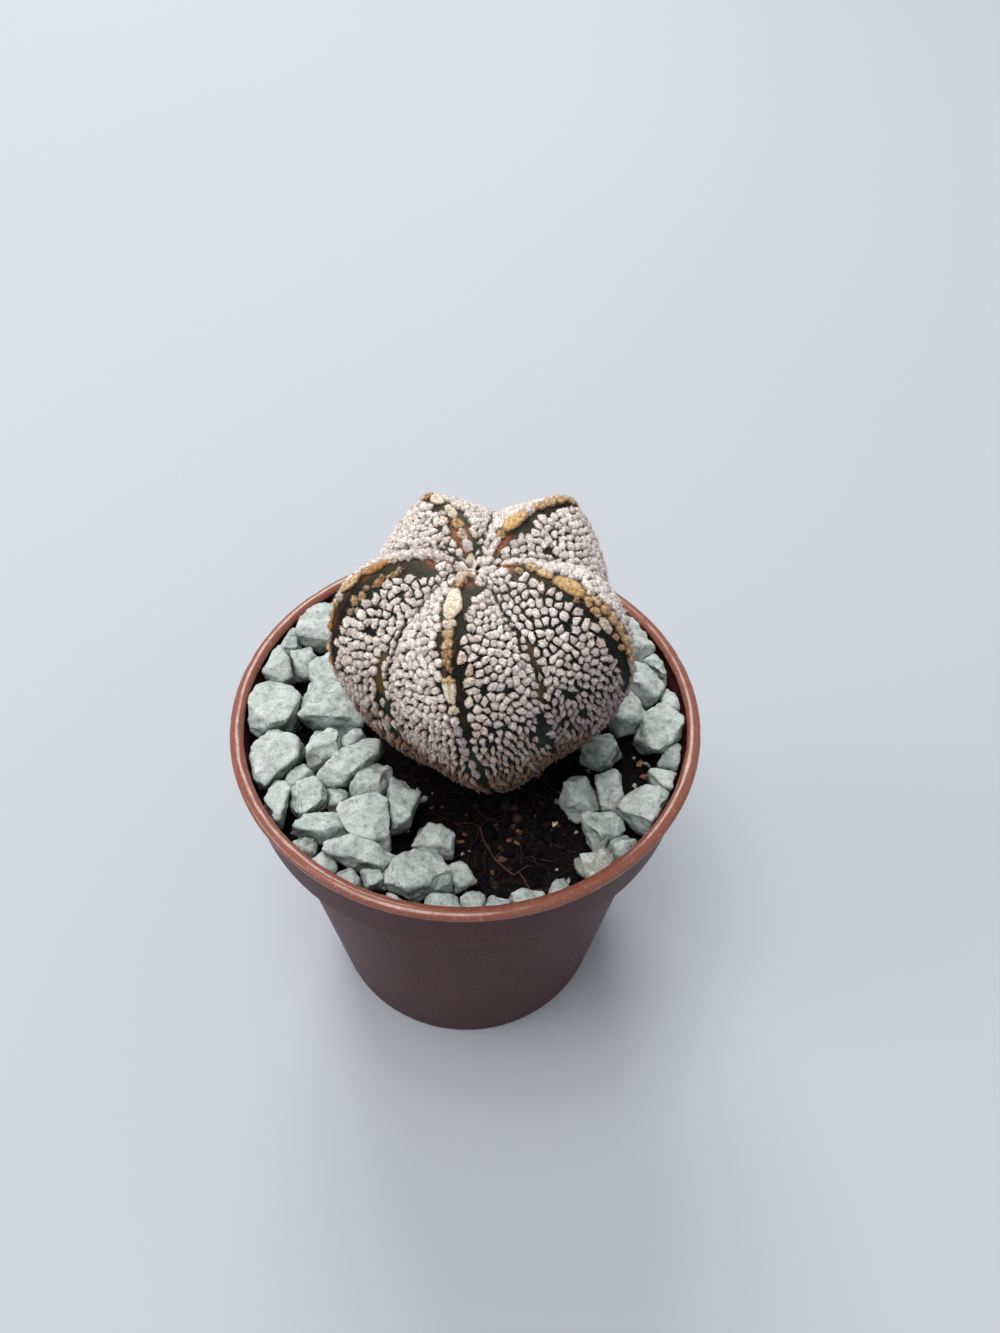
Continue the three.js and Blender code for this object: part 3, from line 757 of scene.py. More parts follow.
def spline(points, along):
    """A point of a Catmull-Rom curve through points, at a share of its length in steps."""
    last = len(points) - 1
    place = last * np.clip(along, 0, 1)
    step = np.minimum(np.floor(place).astype(int), last)
    t = (place - step)[..., None]
    a, b = points[np.maximum(step - 1, 0)], points[step]
    c, d = points[np.minimum(step + 1, last)], points[np.minimum(step + 2, last)]
    leave, arrive = (c - a) / 2, (d - b) / 2
    cubed = (2 * b - 2 * c + leave + arrive) * t**3
    squared = (3 * c - 3 * b - 2 * leave - arrive) * t**2
    return cubed + squared + leave * t + b


def rib_direction(number):
    turns = np.floor(number / RIBS).astype(int)
    return RIB_DIRECTIONS[number - turns * RIBS] + 360 * turns


def body_point(place, along):
    """A point of the outline over the wool, in the body's frame. A place is the rib's number plus a share
    that runs from one furrow (0) over the ridge (0.5) to the next furrow (1)."""
    place, along = np.broadcast_arrays(np.asarray(place, float), np.asarray(along, float))
    rib = np.floor(place).astype(int)
    across = place - rib
    here = rib_direction(rib)
    side = np.where(across < 0.5, rib_direction(rib - 1) + here, here + rib_direction(rib + 1)) / 2
    nearness = 1 - np.abs(across - 0.5) * 2
    angle = np.radians(side + (here - side) * nearness) + TWIST * (along - EQUATOR)
    crest = spline(RIDGE, along) * np.stack([RIB_REACH[rib % RIBS], np.ones(along.shape)], -1)
    wall = spline(FURROW, along)
    radius, height = np.moveaxis(wall + (crest - wall) * (nearness**FLANK_CURVE)[..., None], -1, 0)
    return np.stack([radius * np.cos(angle), radius * np.sin(angle), height], -1)


def leaned(vectors):
    """Turns vectors of the body's frame into the part's frame."""
    x, y, z = np.moveaxis(vectors, -1, 0)
    cosine, sine = math.cos(BODY_LEAN), math.sin(BODY_LEAN)
    return np.stack([x * cosine + z * sine, y, z * cosine - x * sine], -1)


def skin_frame(place, along, step=SLOPE_STEP):
    """Points of the bare skin in the part's frame, the way out of it, and the way down along it."""
    here = body_point(place, along)
    down = body_point(place, np.minimum(along + step, 1)) - body_point(place, np.maximum(along - step, 0))
    across = body_point(place + step, along) - body_point(place - step, along)
    out = unit(np.cross(down, across))
    lie = unit(down - out * dot(down, out))
    out, lie = leaned(out), leaned(lie)
    return leaned(here) + BODY_CENTRE - out * SKIN_BELOW, out, lie


ALONG = np.linspace(0, 1, 500)


def travel(path):
    steps = np.linalg.norm(np.diff(path, axis=0), axis=1)
    return np.concatenate([[0], np.cumsum(steps)])


RIDGE_DOWN = [travel(body_point(rib + 0.5, ALONG)) for rib in range(RIBS)]


def down_ridge(rib, along):
    """Millimetres down the ridge of each rib at each share along."""
    return np.choose(rib, [np.interp(along, ALONG, travelled) for travelled in RIDGE_DOWN])


def flank_width(rib, side, along):
    """Millimetres from a ridge to the furrow on one side of it."""
    furrow = body_point(rib + 0.5 + side * TO_FURROW, along)
    return np.linalg.norm(body_point(rib + 0.5, along) - furrow, axis=-1)


def flank_place(rib, side, off, along):
    return rib + 0.5 + side * 0.5 * np.minimum(off / np.maximum(flank_width(rib, side, along), 1e-6), 1)


# Bare bands beside each ridge, by rib and side: millimetres down the ridge, and how far the band reaches
BANDS = {
    (0, -1): ((0, 10, 30, 40), (0.5, 0.55, 0.6, 0.5)),
    (0, 1): (
        (2, 6.3, 8.3, 10.3, 12.6, 15.4, 17.8, 20.3, 24, 30, 36),
        (0.6, 1.15, 1.35, 1.45, 1.65, 1.65, 1.85, 2.0, 1.7, 1.1, 0.6),
    ),
    (1, -1): ((4, 9.2, 11.5, 13.5, 16, 20, 30), (0.7, 1.2, 1.0, 0.9, 0.8, 0.75, 0.6)),
    (1, 1): (
        (4, 9.2, 11.6, 13.5, 17.2, 19.2, 21.5, 24.8, 29.4, 34),
        (0.7, 0.9, 1.0, 1.15, 1.25, 1.25, 1.15, 0.9, 0.8, 0.5),
    ),
    (2, -1): (
        (3, 7.2, 10.8, 12.6, 14.3, 16.2, 18.4, 21.1, 23.5, 27, 32),
        (0.9, 1.1, 1.1, 1.25, 1.5, 1.6, 1.85, 2.05, 2.0, 1.6, 1.0),
    ),
    (2, 1): ((0, 10, 30, 40), (0.5, 0.5, 0.6, 0.5)),
    (3, -1): ((3, 6, 12, 16, 24, 34), (0.8, 1.1, 1.35, 1.3, 1.2, 0.6)),
    (3, 1): ((0, 10, 30, 40), (0.5, 0.6, 0.7, 0.5)),
    (4, -1): ((0, 8, 20, 34), (0.6, 0.8, 1.0, 0.6)),
    (4, 1): ((3, 8, 13, 20, 34), (0.9, 1.3, 1.3, 1.2, 0.6)),
}

# Bare places in the wool: place, share along, half its width and length in millimetres, and its colour
BARE_PLACES = (
    (0.93, 0.345, 0.55, 1.1, SKIN_OLIVE), (0.925, 0.4, 0.6, 1.2, SKIN_OLIVE),
    (2.03, 0.3, 0.45, 1.3, SKIN_BROWN),
    (1.985, 0.385, 0.42, 1.5, SKIN_BROWN), (1.95, 0.45, 0.6, 1.2, SKIN_DARK),
    (1.93, 0.545, 0.9, 2.2, SKIN_GREEN),
    (0.935, 0.578, 0.9, 1.8, SKIN_GREEN), (1.52, 0.53, 0.8, 2.2, SKIN_GREEN),
    (0.96, 0.48, 0.5, 1.6, SKIN_GREEN),
)

# Pads of wool along each ridge: millimetres down it, length, width, offset to the side, and colour
PADS = (
    (
        (1.9, 1.7, 0.8, 0.25, "pale"), (4.8, 0.9, 0.8, 0.3, "pale"), (5.6, 0.9, 0.8, -0.15, "pale"),
        (6.5, 0.9, 0.85, 0.3, "pale"),
        (7.2, 0.9, 0.75, -0.3, "pale"), (7.9, 0.8, 0.75, 0.25, "pale"), (8.6, 0.8, 0.7, -0.2, "pale"),
        (9.5, 0.9, 0.7, 0.1, "cream"), (4.6, 0.7, 0.7, -0.6, "pale"), (6.2, 0.8, 0.7, -0.8, "pale"),
        (9.3, 0.5, 0.4, 1.2, "ochre"), (10.2, 1.3, 0.55, 1.45, "gold"),
        (11.5, 3.0, 0.8, 0.15, "orange"), (11.4, 0.5, 0.45, 1.3, "gold"), (12.1, 1.2, 0.7, 1.65, "orange"),
        (13.4, 0.5, 0.4, 1.55, "ochre"), (14.6, 2.6, 1.0, 0.1, "ochre"),
        (14.3, 0.9, 0.7, 1.95, "gold"), (15.3, 0.8, 0.85, 1.8, "gold"), (16.5, 0.9, 0.5, 2.2, "ochre"),
        (15.8, 0.5, 0.4, 2.7, "cream"), (16.6, 0.9, 0.8, 0.2, "pale"), (17.6, 0.9, 0.7, 0.2, "ochre"),
        (18.9, 1.4, 0.6, 0.1, "gold"), (20.4, 0.9, 0.6, 0.2, "orange"), (21.8, 1.2, 0.7, 0.15, "pale"),
        (23.4, 1.1, 0.6, 0.1, "ochre"), (25.1, 1.4, 0.6, 0, "orange"),
    ),
    (
        (2.4, 1.3, 0.9, 0.1, "pale"), (3.5, 1.1, 1.1, 0, "cream"), (4.6, 1.2, 1.1, -0.1, "ochre"),
        (5.5, 0.9, 0.7, 0.4, "cream"),
        (6.5, 1.3, 0.9, -0.1, "ochre"), (9.4, 3.3, 1.75, 0, "cream"), (11.75, 1.0, 1.3, -0.05, "cream"),
        (12.8, 1.0, 1.1, 0, "ochre"), (13.8, 1.0, 1.05, 0, "ochre"), (14.8, 0.9, 0.65, -0.3, "ochre"),
        (14.7, 0.75, 0.6, 0.35, "gold"), (15.6, 0.8, 0.75, -0.15, "gold"), (16.2, 0.6, 0.5, 0.3, "orange"),
        (18.4, 2.5, 1.25, 0, "cream"), (17.4, 0.8, 1.1, 0, "gold"), (20.5, 1.0, 0.9, 0.1, "cream"),
        (21.9, 1.1, 0.8, -0.1, "pale"), (23.1, 1.3, 0.75, 0, "mauve"), (24.6, 1.2, 0.75, 0.1, "mauve"),
        (26.0, 1.2, 0.8, 0, "mauve"),
    ),
    (
        (2.3, 2.2, 0.95, -0.1, "pale"), (7.4, 0.8, 0.7, -0.75, "gold"), (8.3, 1.2, 0.8, -0.1, "ochre"),
        (9.8, 1.7, 0.9, 0, "ochre"),
        (12.6, 3.3, 1.45, -0.25, "gold"), (15.0, 1.0, 0.9, -0.5, "gold"), (15.6, 1.0, 0.8, 0.2, "ochre"),
        (16.4, 1.1, 0.9, -0.8, "ochre"), (16.9, 1.2, 0.8, 0, "gold"), (18.3, 2.0, 0.9, -0.95, "cream"),
        (18.4, 1.4, 0.9, 0.05, "gold"), (19.9, 1.3, 0.8, 0.05, "ochre"), (21.4, 1.4, 0.9, 0, "gold"),
        (22.8, 1.2, 0.8, -0.1, "ochre"), (24.3, 1.2, 0.8, 0, "ochre"), (25.9, 1.4, 0.7, 0, "pale"),
        (13.6, 0.8, 0.6, 0.75, "ochre"), (14.8, 0.8, 0.65, 0.85, "cream"), (16.0, 0.8, 0.6, 0.9, "ochre"),
        (17.2, 0.9, 0.6, 0.95, "gold"), (18.5, 0.8, 0.6, 0.9, "cream"), (19.9, 0.8, 0.6, 0.9, "ochre"),
        (14.1, 0.6, 0.5, -1.0, "orange"), (20.2, 0.7, 0.55, -0.8, "gold"), (21.8, 0.6, 0.5, -0.8, "ochre"),
    ),
    (
        (1.5, 1.5, 0.8, 0.1, "pale"), (3.5, 2.6, 1.05, 0.3, "pale"), (5.0, 0.9, 0.9, -0.1, "gold"),
        (7.0, 3.1, 1.7, 0, "gold"),
        (9.2, 1.1, 0.75, -0.2, "pale"), (10.5, 1.4, 0.95, 0, "ochre"), (12.2, 1.7, 1.1, -0.1, "ochre"),
        (14.1, 1.8, 1.2, -0.1, "gold"),
        (16.0, 1.5, 1.1, -0.1, "ochre"), (17.8, 1.4, 0.9, 0, "orange"),
    ),
    (
        (1.4, 1.3, 1.1, 0, "cream"), (3.1, 1.3, 1.15, 0.05, "pale"), (4.4, 1.1, 1.0, 0, "cream"),
        (5.6, 1.3, 1.1, 0, "gold"),
        (7.7, 2.3, 0.95, 0.1, "cream"), (8.6, 1.0, 0.7, 0.95, "pale"), (11.3, 2.8, 1.2, 0.1, "cream"),
        (13.7, 1.2, 0.9, 0.2, "orange"), (15.6, 1.6, 1.0, 0, "cream"),
    ),
)

# Pads past the listed ones: how far down the ridge they go, and their colours
RIDGE_WOOL_ENDS = 31
NEXT_PADS = ("mauve", "buff", "mauve", "buff")


def skin_tints(place, along, points):
    """Colours of the bare skin: brick-brown by the crown, dark below it, rusty beside the pads, olive or
    green in the bare places, and bark-brown at the foot."""
    rib = np.floor(place).astype(int) % RIBS
    across = place - np.floor(place)
    down = down_ridge(rib, along)
    tints = mixed(SKIN_UPPER, SKIN_DARK, smooth(down, 5, 16))
    near_ridge = smooth(1 - np.abs(across - 0.5) * 2, 0.35, 0.75)
    by_crown = smooth(down, 1.2, 2.6) * (1 - smooth(down, 5.2, 7.2)) * near_ridge
    uneven = 0.25 * rough(points, 1.3, 2)
    tints = mixed(tints, SKIN_BRICK, np.clip(by_crown + uneven * by_crown, 0, 1))
    off = np.abs(across - 0.5) * 2 * np.choose(rib, [flank_width(number, 1, along) for number in range(RIBS)])
    by_pads = (1 - smooth(off, 0.5, 1.0)) * smooth(down, 7, 11) * (1 - smooth(down, 19, 24))
    tints = mixed(tints, SKIN_RUST, by_pads * smooth(rough(points, 0.9, 6), -0.25, 0.35) * 0.85)
    tints = mixed(tints, SKIN_GREEN, smooth(along, 0.42, 0.6) * 0.45)
    for bare_place, bare_along, half_width, half_length, colour in BARE_PLACES:
        away = patch_distance(points, bare_place, bare_along, half_width * 1.25, half_length * 1.25)
        tints = mixed(tints, colour, 1 - smooth(away, 0.7, 1.2))
    return mixed(tints, SKIN_BARK, smooth(along + uneven * 0.1, 0.6, 0.72))


def patch_distance(points, place, along, half_width, half_length):
    """How far points are from a bare place, where its edge is at 1."""
    middle, out, lie = skin_frame(np.array([place]), np.array([along]))
    away = points - middle
    down = (away * lie).sum(-1) / half_length
    across = (away * np.cross(out, lie)).sum(-1) / half_width
    return np.sqrt(down**2 + across**2 + ((away * out).sum(-1) / 3) ** 2)


def make_skin(material):
    columns = SKIN_COLUMNS * RIBS
    along = np.repeat(np.linspace(0.012, 1, SKIN_ROWS), columns)
    place = np.tile(np.arange(columns) / SKIN_COLUMNS, SKIN_ROWS)
    points, out, _ = skin_frame(place, along, 0.01)
    points += out * (0.07 * rough(points, 1.1, 5) + 0.03 * rough(points, 0.4, 9))[:, None]
    tints = skin_tints(place, along, points)
    root = []
    for radius, height in ROOT:
        angles = np.radians(rib_direction(np.zeros(1, int)) + np.arange(columns) / columns * 360)
        ring = np.stack([radius * np.cos(angles), radius * np.sin(angles), np.full(columns, height)], -1)
        root.append(leaned(ring) + BODY_CENTRE)
    crown = leaned(np.array([[0, 0, RIDGE[0][1]]])) + BODY_CENTRE - [0, 0, SKIN_BELOW]
    tip = leaned(np.array([[0, 0, ROOT[-1][1] - 0.4]])) + BODY_CENTRE
    points = np.concatenate([crown, points, *root, tip])
    below = np.tile(SKIN_BARK, (len(ROOT) * columns + 1, 1))
    tints = np.concatenate([SKIN_BRICK[None], tints, below])
    skin = mesh_object("plant_skin", points, ring_faces(SKIN_ROWS + len(ROOT), columns), material)
    set_values(skin, "tint", tints)
    finished(skin, "cactus", "cactus")


# Plant wool

def wool_tint(along, points, draw):
    """Cream above and bark-brown at the foot. The buff to mauve-grey lower down, strongest on the right, is
    painted shade with a bluish cast.
    """
    side = unit(points - BODY_CENTRE)
    right = smooth(side[:, 0] - side[:, 1] * 0.3, 0.0, 1.0)
    low = smooth(along + 0.1 * right, 0.26, 0.6)
    bark = smooth(along - 0.05 * right + draw.normal(0, 0.04, len(along)), 0.53, 0.64)
    tint = mixed(WARM, PALE, 0.35 + 0.65 * smooth(side[:, 0], -0.6, 0.4))
    # Buff to mauve-grey lower down, most on the right: painted shade with a bluish cast
    tint = mixed(tint, mixed(BUFF, MAUVE, right), low * (0.6 + 0.4 * right))
    bark_tint = mixed(BARK, BARK_DARK, smooth(along, 0.62, 0.8) * 0.8)
    tint = mixed(tint, bark_tint, bark)
    spread = 0.1 + 0.12 * bark[:, None]
    return tint * np.clip(1 + spread * draw.normal(0, 1, (len(along), 1)), 0.6, 1.25)


# Wool from the crown down: share along, millimetres between flecks down the plant and across it, the height
# of a fleck, how far its lower tip is lifted in degrees, and its size as a share of the room it has
WOOL_ALONG = (0, 0.06, 0.14, 0.36, 0.45, 0.55, 0.66, 0.8, 1)
WOOL_DOWN = (0.72, 0.76, 0.86, 0.92, 1.1, 1.3, 1.4, 1.5, 1.6)
WOOL_ACROSS = (0.62, 0.68, 0.78, 0.82, 0.7, 0.62, 0.66, 0.85, 0.9)
WOOL_HEIGHT = (0.46, 0.46, 0.48, 0.5, 0.5, 0.48, 0.44, 0.42, 0.42)
WOOL_LIFT = (0, 0, 0, 6, 18, 24, 18, 14, 14)
WOOL_SHARE = (1.28, 1.28, 1.25, 1.2, 1.03, 0.92, 0.98, 1.2, 1.3)
WOOL_FIRST = 0.022
WOOL_LAST = 0.965
WOOL_SEED = 31
WOOL_MARGIN = 0.36
BAND_UNEVEN = 0.3

# Spacing of the flecks, in units of the gaps above: how close they fall, and how they are moved apart
DART_CLOSENESS = 0.78
EASING_REACH = 1.25
EASING_RATE = 0.2
EASING_ROUNDS = 5
EASING_TICK = 0.002

# Room left free of flecks round a pad, the mean width of a flank, and the share of flecks that is stained
PAD_MARGIN = 0.4
PAD_DEPTH = 2
FLANK_WIDTH = 8.5
STAINED_SHARE = 0.35

# Gaps between neighbouring flecks in millimetres, where less than nothing is an overlap: the range, what is
# added across a furrow and how far down it goes, and what is added on single flanks, by rib and side
FLECK_GAPS = (-0.12, 0.26)
FLECK_SOFTNESS = 0.06
FLECK_OVERLAP = 0.07
NEIGHBOURS = 9
FURROW_GAP = 0.36
FURROW_GAP_ENDS = 0.44
FLANK_GAPS = {
    (0, 1): -0.03, (1, -1): -0.08, (2, -1): 0.05, (2, 1): -0.06,
    (3, -1): -0.08, (3, 1): -0.08, (4, -1): -0.08, (4, 1): -0.08,
}

# Fine hairs: share of the points that carry one, length and width, and how high on a fleck they start
HAIR_SHARE = 0.5
PAD_HAIR_SHARE = 0.6
HAIR_LENGTH = 0.25
HAIR_WIDTH = 0.038
HAIR_START = 0.12

# Pads: how much longer than listed they are, their height by their width, and how brown each colour stains
PAD_STRETCH = 1.1
PAD_HEIGHT = 0.3
PAD_HEIGHT_RATE = 0.11
PAD_HEIGHT_ENDS = 1.7
LONG_PAD = 1.6
PAD_STAINS = {"cream": 0.15, "ochre": 0.7, "gold": 0.75, "orange": 1.0}
PLAIN_STAIN = 0.08
CROWN_TUFTS = 16
GOLDEN_SHARE = 0.618


def wool_at(along, values):
    """A value of the wool, listed from the crown down, at each share along."""
    return np.interp(along, WOOL_ALONG, values)


def wool_limits(valley, along):
    """The places beside the two ridges of a valley where its wool starts."""
    margin = wool_at(along, WOOL_ACROSS) * WOOL_MARGIN
    limits = []
    for rib, side in ((valley, 1), (valley + 1, -1)):
        down = np.interp(along, ALONG, RIDGE_DOWN[rib % RIBS])
        uneven = BAND_UNEVEN * rough(np.stack([down, np.full(len(down), 7.3 * rib + side), 0 * down], 1), 1.1)
        off = np.interp(down, *BANDS[rib % RIBS, side]) * (1 + uneven) + margin
        limits.append(flank_place(rib, side, off, along))
    return limits


def parted(place, along):
    """Offsets between flecks in units of the spacing there: down, across and their length."""
    points, out, lie = skin_frame(place, along)
    away = points[:, None] - points[None]
    down = (away * lie[:, None]).sum(-1) / wool_at(along, WOOL_DOWN)[:, None]
    gap = wool_at(along, WOOL_ACROSS)[:, None]
    across = (away * np.cross(out, lie)[:, None]).sum(-1) / gap
    deep = (away * out[:, None]).sum(-1) / gap
    return down, across, np.sqrt(down**2 + across**2 + deep**2) + 1e-9


def thrown(valley, draw, tries=9000):
    """Random places in a valley, kept where they are clear of those kept before."""
    along = draw.uniform(WOOL_FIRST, WOOL_LAST, tries)
    low, high = wool_limits(valley, along)
    place = low + (high - low) * draw.random(tries)
    points, out, lie = skin_frame(place, along)
    down_gap = wool_at(along, WOOL_DOWN)
    across_gap = wool_at(along, WOOL_ACROSS)
    sideways = np.cross(out, lie)
    kept = np.zeros(tries, int)
    count = 0
    for index in range(tries):
        away = points[kept[:count]] - points[index]
        down, across, deep = away @ lie[index], away @ sideways[index], away @ out[index]
        length = (down / down_gap[index]) ** 2 + (across**2 + deep**2) / across_gap[index] ** 2
        if count == 0 or length.min() > DART_CLOSENESS**2:
            kept[count] = index
            count += 1
    return place[kept[:count]], along[kept[:count]]


def stretch(place, along, place_step, along_step):
    """Millimetres of plant for each unit of place, or of share along, by a small step each way."""
    ahead = body_point(place + place_step, along + along_step)
    behind = body_point(place - place_step, along - along_step)
    return np.linalg.norm(ahead - behind, axis=-1) / EASING_TICK / 2


def eased(valley, place, along):
    """Moves the flecks of a valley apart until they lie evenly."""
    for _ in range(EASING_ROUNDS):
        down, across, length = parted(place, along)
        push = np.clip(EASING_REACH - length, 0, None) / length * EASING_RATE
        np.fill_diagonal(push, 0)
        down_scale = stretch(place, along, 0, EASING_TICK)
        across_scale = stretch(place, along, EASING_TICK, 0)
        step_down = (push * down).sum(1) * wool_at(along, WOOL_DOWN)
        step_across = (push * across).sum(1) * wool_at(along, WOOL_ACROSS)
        along = np.clip(along + step_down / down_scale, WOOL_FIRST, WOOL_LAST)
        low, high = wool_limits(valley, along)
        place = np.clip(place + step_across / np.maximum(across_scale, 1e-3), low, np.maximum(low, high))
    return place, along


def fleck_spots(valley, draw, pads):
    """The flecks of wool between two ridges, with the bands, the pads and the bare places left free."""
    place, along = eased(valley, *thrown(valley, draw))
    length = parted(place, along)[2]
    np.fill_diagonal(length, 9)
    room = np.clip(np.sort(length, 1)[:, :3].mean(1), 0.85, 1.15)
    points, out, lie = skin_frame(place, along)
    free = draw.random(len(points)) > 0.012 + 0.1 * smooth(along, 0.34, 0.46)
    for bare_place, bare_along, half_width, half_length, _ in BARE_PLACES:
        free &= patch_distance(points, bare_place, bare_along, half_width, half_length) > 1
    for centre, pad_out, pad_lie, size in zip(*(pads[key] for key in ("place", "out", "lie", "size"))):
        away = points - centre
        off_down = (away @ pad_lie) / (size[0] / 2 + PAD_MARGIN)
        off_across = (away @ np.cross(pad_out, pad_lie)) / (size[1] / 2 + PAD_MARGIN)
        free &= (off_down**2 + off_across**2 > 1) | (np.abs(away @ pad_out) > PAD_DEPTH)
    place, along, room, points, out, lie = [values[free] for values in (place, along, room, points, out, lie)]
    count = len(place)
    side = np.where(place < valley + 1, 1, -1)
    rib = np.where(side > 0, valley, valley + 1) % RIBS
    nearness = np.abs(place - valley - 1) * 2
    fold = 1 - smooth(nearness, 0.06, 0.3)
    loose = 1 - smooth(along, 0.33, 0.45)
    shaggy = smooth(along, 0.52, 0.64)
    spin = draw.uniform(0, 2 * math.pi, count) * loose * (1 - fold)
    spin += draw.normal(0, 0.24, count) * (1 + 1.2 * shaggy)
    spin += 0.5 * fold * side
    turned = lie * np.cos(spin)[:, None] + np.cross(out, lie) * np.sin(spin)[:, None]
    unsteady = draw.normal(0, 5, count) * (1 + 1.6 * shaggy)
    tilt = np.radians(wool_at(along, WOOL_LIFT) + unsteady)[:, None]
    share = wool_at(along, WOOL_SHARE) * room
    uneven = draw.uniform(0.8 - 0.25 * shaggy, 1.3 + 0.2 * shaggy)
    sizes = np.stack([
        wool_at(along, WOOL_DOWN) * share * uneven * (1 + 0.2 * fold),
        wool_at(along, WOOL_ACROSS) * share * draw.uniform(0.68, 1.1, count),
        wool_at(along, WOOL_HEIGHT) * draw.uniform(0.8, 1.2, count),
    ], 1)
    long_ones = draw.random(count) < smooth(along, 0.32, 0.44)
    flake_kind = TUFT_KINDS + draw.integers(0, FLAKE_KINDS, count)
    kind = np.where(long_ones, flake_kind, draw.integers(0, TUFT_KINDS, count))
    ridge_down = down_ridge(rib, along)
    low, high = wool_limits(valley, along)
    from_band = np.where(side > 0, place - low, high - place) * 2 * FLANK_WIDTH
    by_band = (1 - smooth(from_band, 0.3, 1.3)) * smooth(ridge_down, 5, 8) * (1 - smooth(ridge_down, 22, 27))
    chosen = draw.random(count) < STAINED_SHARE * by_band
    gold = np.where(chosen, draw.uniform(0.3, 0.8, count), 0.06 * by_band)
    lower = smooth(along, 0.36, 0.55) * (draw.random(count) < STAINED_SHARE)
    gold = np.maximum(gold, lower * draw.uniform(0.2, 0.7, count))
    return {
        "place": points, "out": out * np.cos(tilt) - turned * np.sin(tilt),
        "lie": turned * np.cos(tilt) + out * np.sin(tilt), "size": sizes,
        "tint": wool_tint(along, points, draw), "gold": gold, "kind": kind, "fleck": np.arange(count),
    }, np.where(along < FURROW_GAP_ENDS, side, 0)


def pressed(wool, valley, places, sides, draw):
    """Flattens each fleck where it meets its neighbours, which leaves narrow gaps between most of them."""
    gaps = draw.uniform(*FLECK_GAPS, (len(places), len(places)))
    gaps = np.triu(gaps) + np.triu(gaps, 1).T
    ribs = [valley if side > 0 else (valley + 1) % RIBS for side in sides]
    looseness = [FLANK_GAPS.get((rib, int(side)), 0) for rib, side in zip(ribs, sides)]
    gaps += np.where(sides[:, None] != sides[None], FURROW_GAP, np.array(looseness)[:, None])
    owner = np.zeros(len(wool.data.vertices), np.float32)
    wool.data.attributes["fleck"].data.foreach_get("value", owner)
    owner = np.rint(owner).astype(int)
    away = places[None] - places[:, None]
    apart = np.linalg.norm(away, axis=-1)
    near = np.argsort(apart, 1)[:, 1:NEIGHBOURS + 1]
    rows = np.arange(len(places))
    points = points_of(wool)
    for _ in range(2):
        for column in near.T:
            distance = apart[rows, column][:, None]
            way = away[rows, column] / distance
            limit = (distance - np.maximum(gaps[rows, column], 0)[:, None]) / 2
            limit += (gaps[rows, column][:, None] < 0) * FLECK_OVERLAP
            beyond = dot(points - places[owner], way[owner]) - limit[owner]
            rounded = np.clip(beyond + FLECK_SOFTNESS, 0, None) ** 2 / FLECK_SOFTNESS / 4
            points -= way[owner] * np.where(beyond > FLECK_SOFTNESS, beyond, rounded)
    wool.data.vertices.foreach_set("co", (points * MM).astype(np.float32).ravel())
    wool.data.attributes.remove(wool.data.attributes["fleck"])
    return points, owner


def hair_spots(points, owner, flecks, draw, share):
    """Places for fine hairs on the flecks, which stand away from the middle of each."""
    chosen = np.flatnonzero(draw.random(len(points)) < share)
    owner = owner[chosen]
    root = points[chosen]
    away = root - flecks["place"][owner]
    above = dot(away, flecks["out"][owner])[:, 0]
    chosen = above > HAIR_START
    root, away, owner = root[chosen], unit(away[chosen]), owner[chosen]
    out = unit(away + draw.normal(0, 0.35, away.shape) + flecks["out"][owner] * 0.25)
    facing = smooth(flecks["out"][owner, 2], -0.2, 0.5)
    length = HAIR_LENGTH * draw.uniform(0.5, 1.3, len(root)) * (0.4 + 0.6 * facing)
    width = np.full(len(root), HAIR_WIDTH)
    return {
        "place": root, "out": out, "lie": unit(np.cross(out, flecks["lie"][owner])),
        "size": np.stack([width, width, length], 1), "kind": np.zeros(len(root)),
        "tint": mixed(flecks["tint"][owner], PALE, 0.5) * 1.05, "gold": flecks["gold"][owner],
    }


HAIR_SHAPE = (
    [np.array(p) for p in ((0.5, 0, -0.1), (-0.25, 0.43, -0.1), (-0.25, -0.43, -0.1), (0, 0, 1))],
    [(0, 1, 3), (1, 2, 3), (2, 0, 3), (2, 1, 0)],
    {"lift": [0.6, 0.6, 0.6, 1.0]},
)


def gathered(spots):
    keys = ("place", "out", "lie", "size", "tint", "gold", "kind")
    return {key: np.array(values) for key, values in zip(keys, zip(*spots))}


def pad_spots(draw):
    """The pads along the ridges: those that show are listed, and the rest follow the same habit."""
    rows = []
    for rib, listed in enumerate(PADS):
        rows += [(rib, *pad) for pad in listed]
        down = listed[-1][0] + listed[-1][1] / 2
        while down < RIDGE_WOOL_ENDS:
            length = draw.uniform(0.9, 2.2)
            down += length / 2 + draw.uniform(0.1, 0.5)
            width, offset = draw.uniform(0.5, 0.8), draw.normal(0, 0.15)
            rows.append((rib, down, length, width, offset, NEXT_PADS[draw.integers(len(NEXT_PADS))]))
            down += length / 2
    spots = []
    for rib, down, length, width, offset, colour in rows:
        along = np.interp(down, RIDGE_DOWN[rib], ALONG)
        side = 1 if offset >= 0 else -1
        place = flank_place(rib, side, abs(offset), np.array([along]))
        point, out, lie = skin_frame(place, np.array([along]), 0.012)
        # Pads lower down are mixed towards mauve-grey: painted shade
        tint = mixed(WOOLS[colour], MAUVE, float(smooth(along, 0.4, 0.6)) * 0.4) * draw.normal(1, 0.03)
        height = PAD_HEIGHT + PAD_HEIGHT_RATE * min(width, PAD_HEIGHT_ENDS)
        size = (length * PAD_STRETCH, width, height)
        kinds = (0, SMOOTH_PADS) if length > LONG_PAD else (SMOOTH_PADS, len(PAD_KNOBS))
        stain = PAD_STAINS.get(colour, PLAIN_STAIN)
        spots.append((point[0], out[0], lie[0], size, tint, stain, draw.integers(*kinds)))
    return gathered(spots)


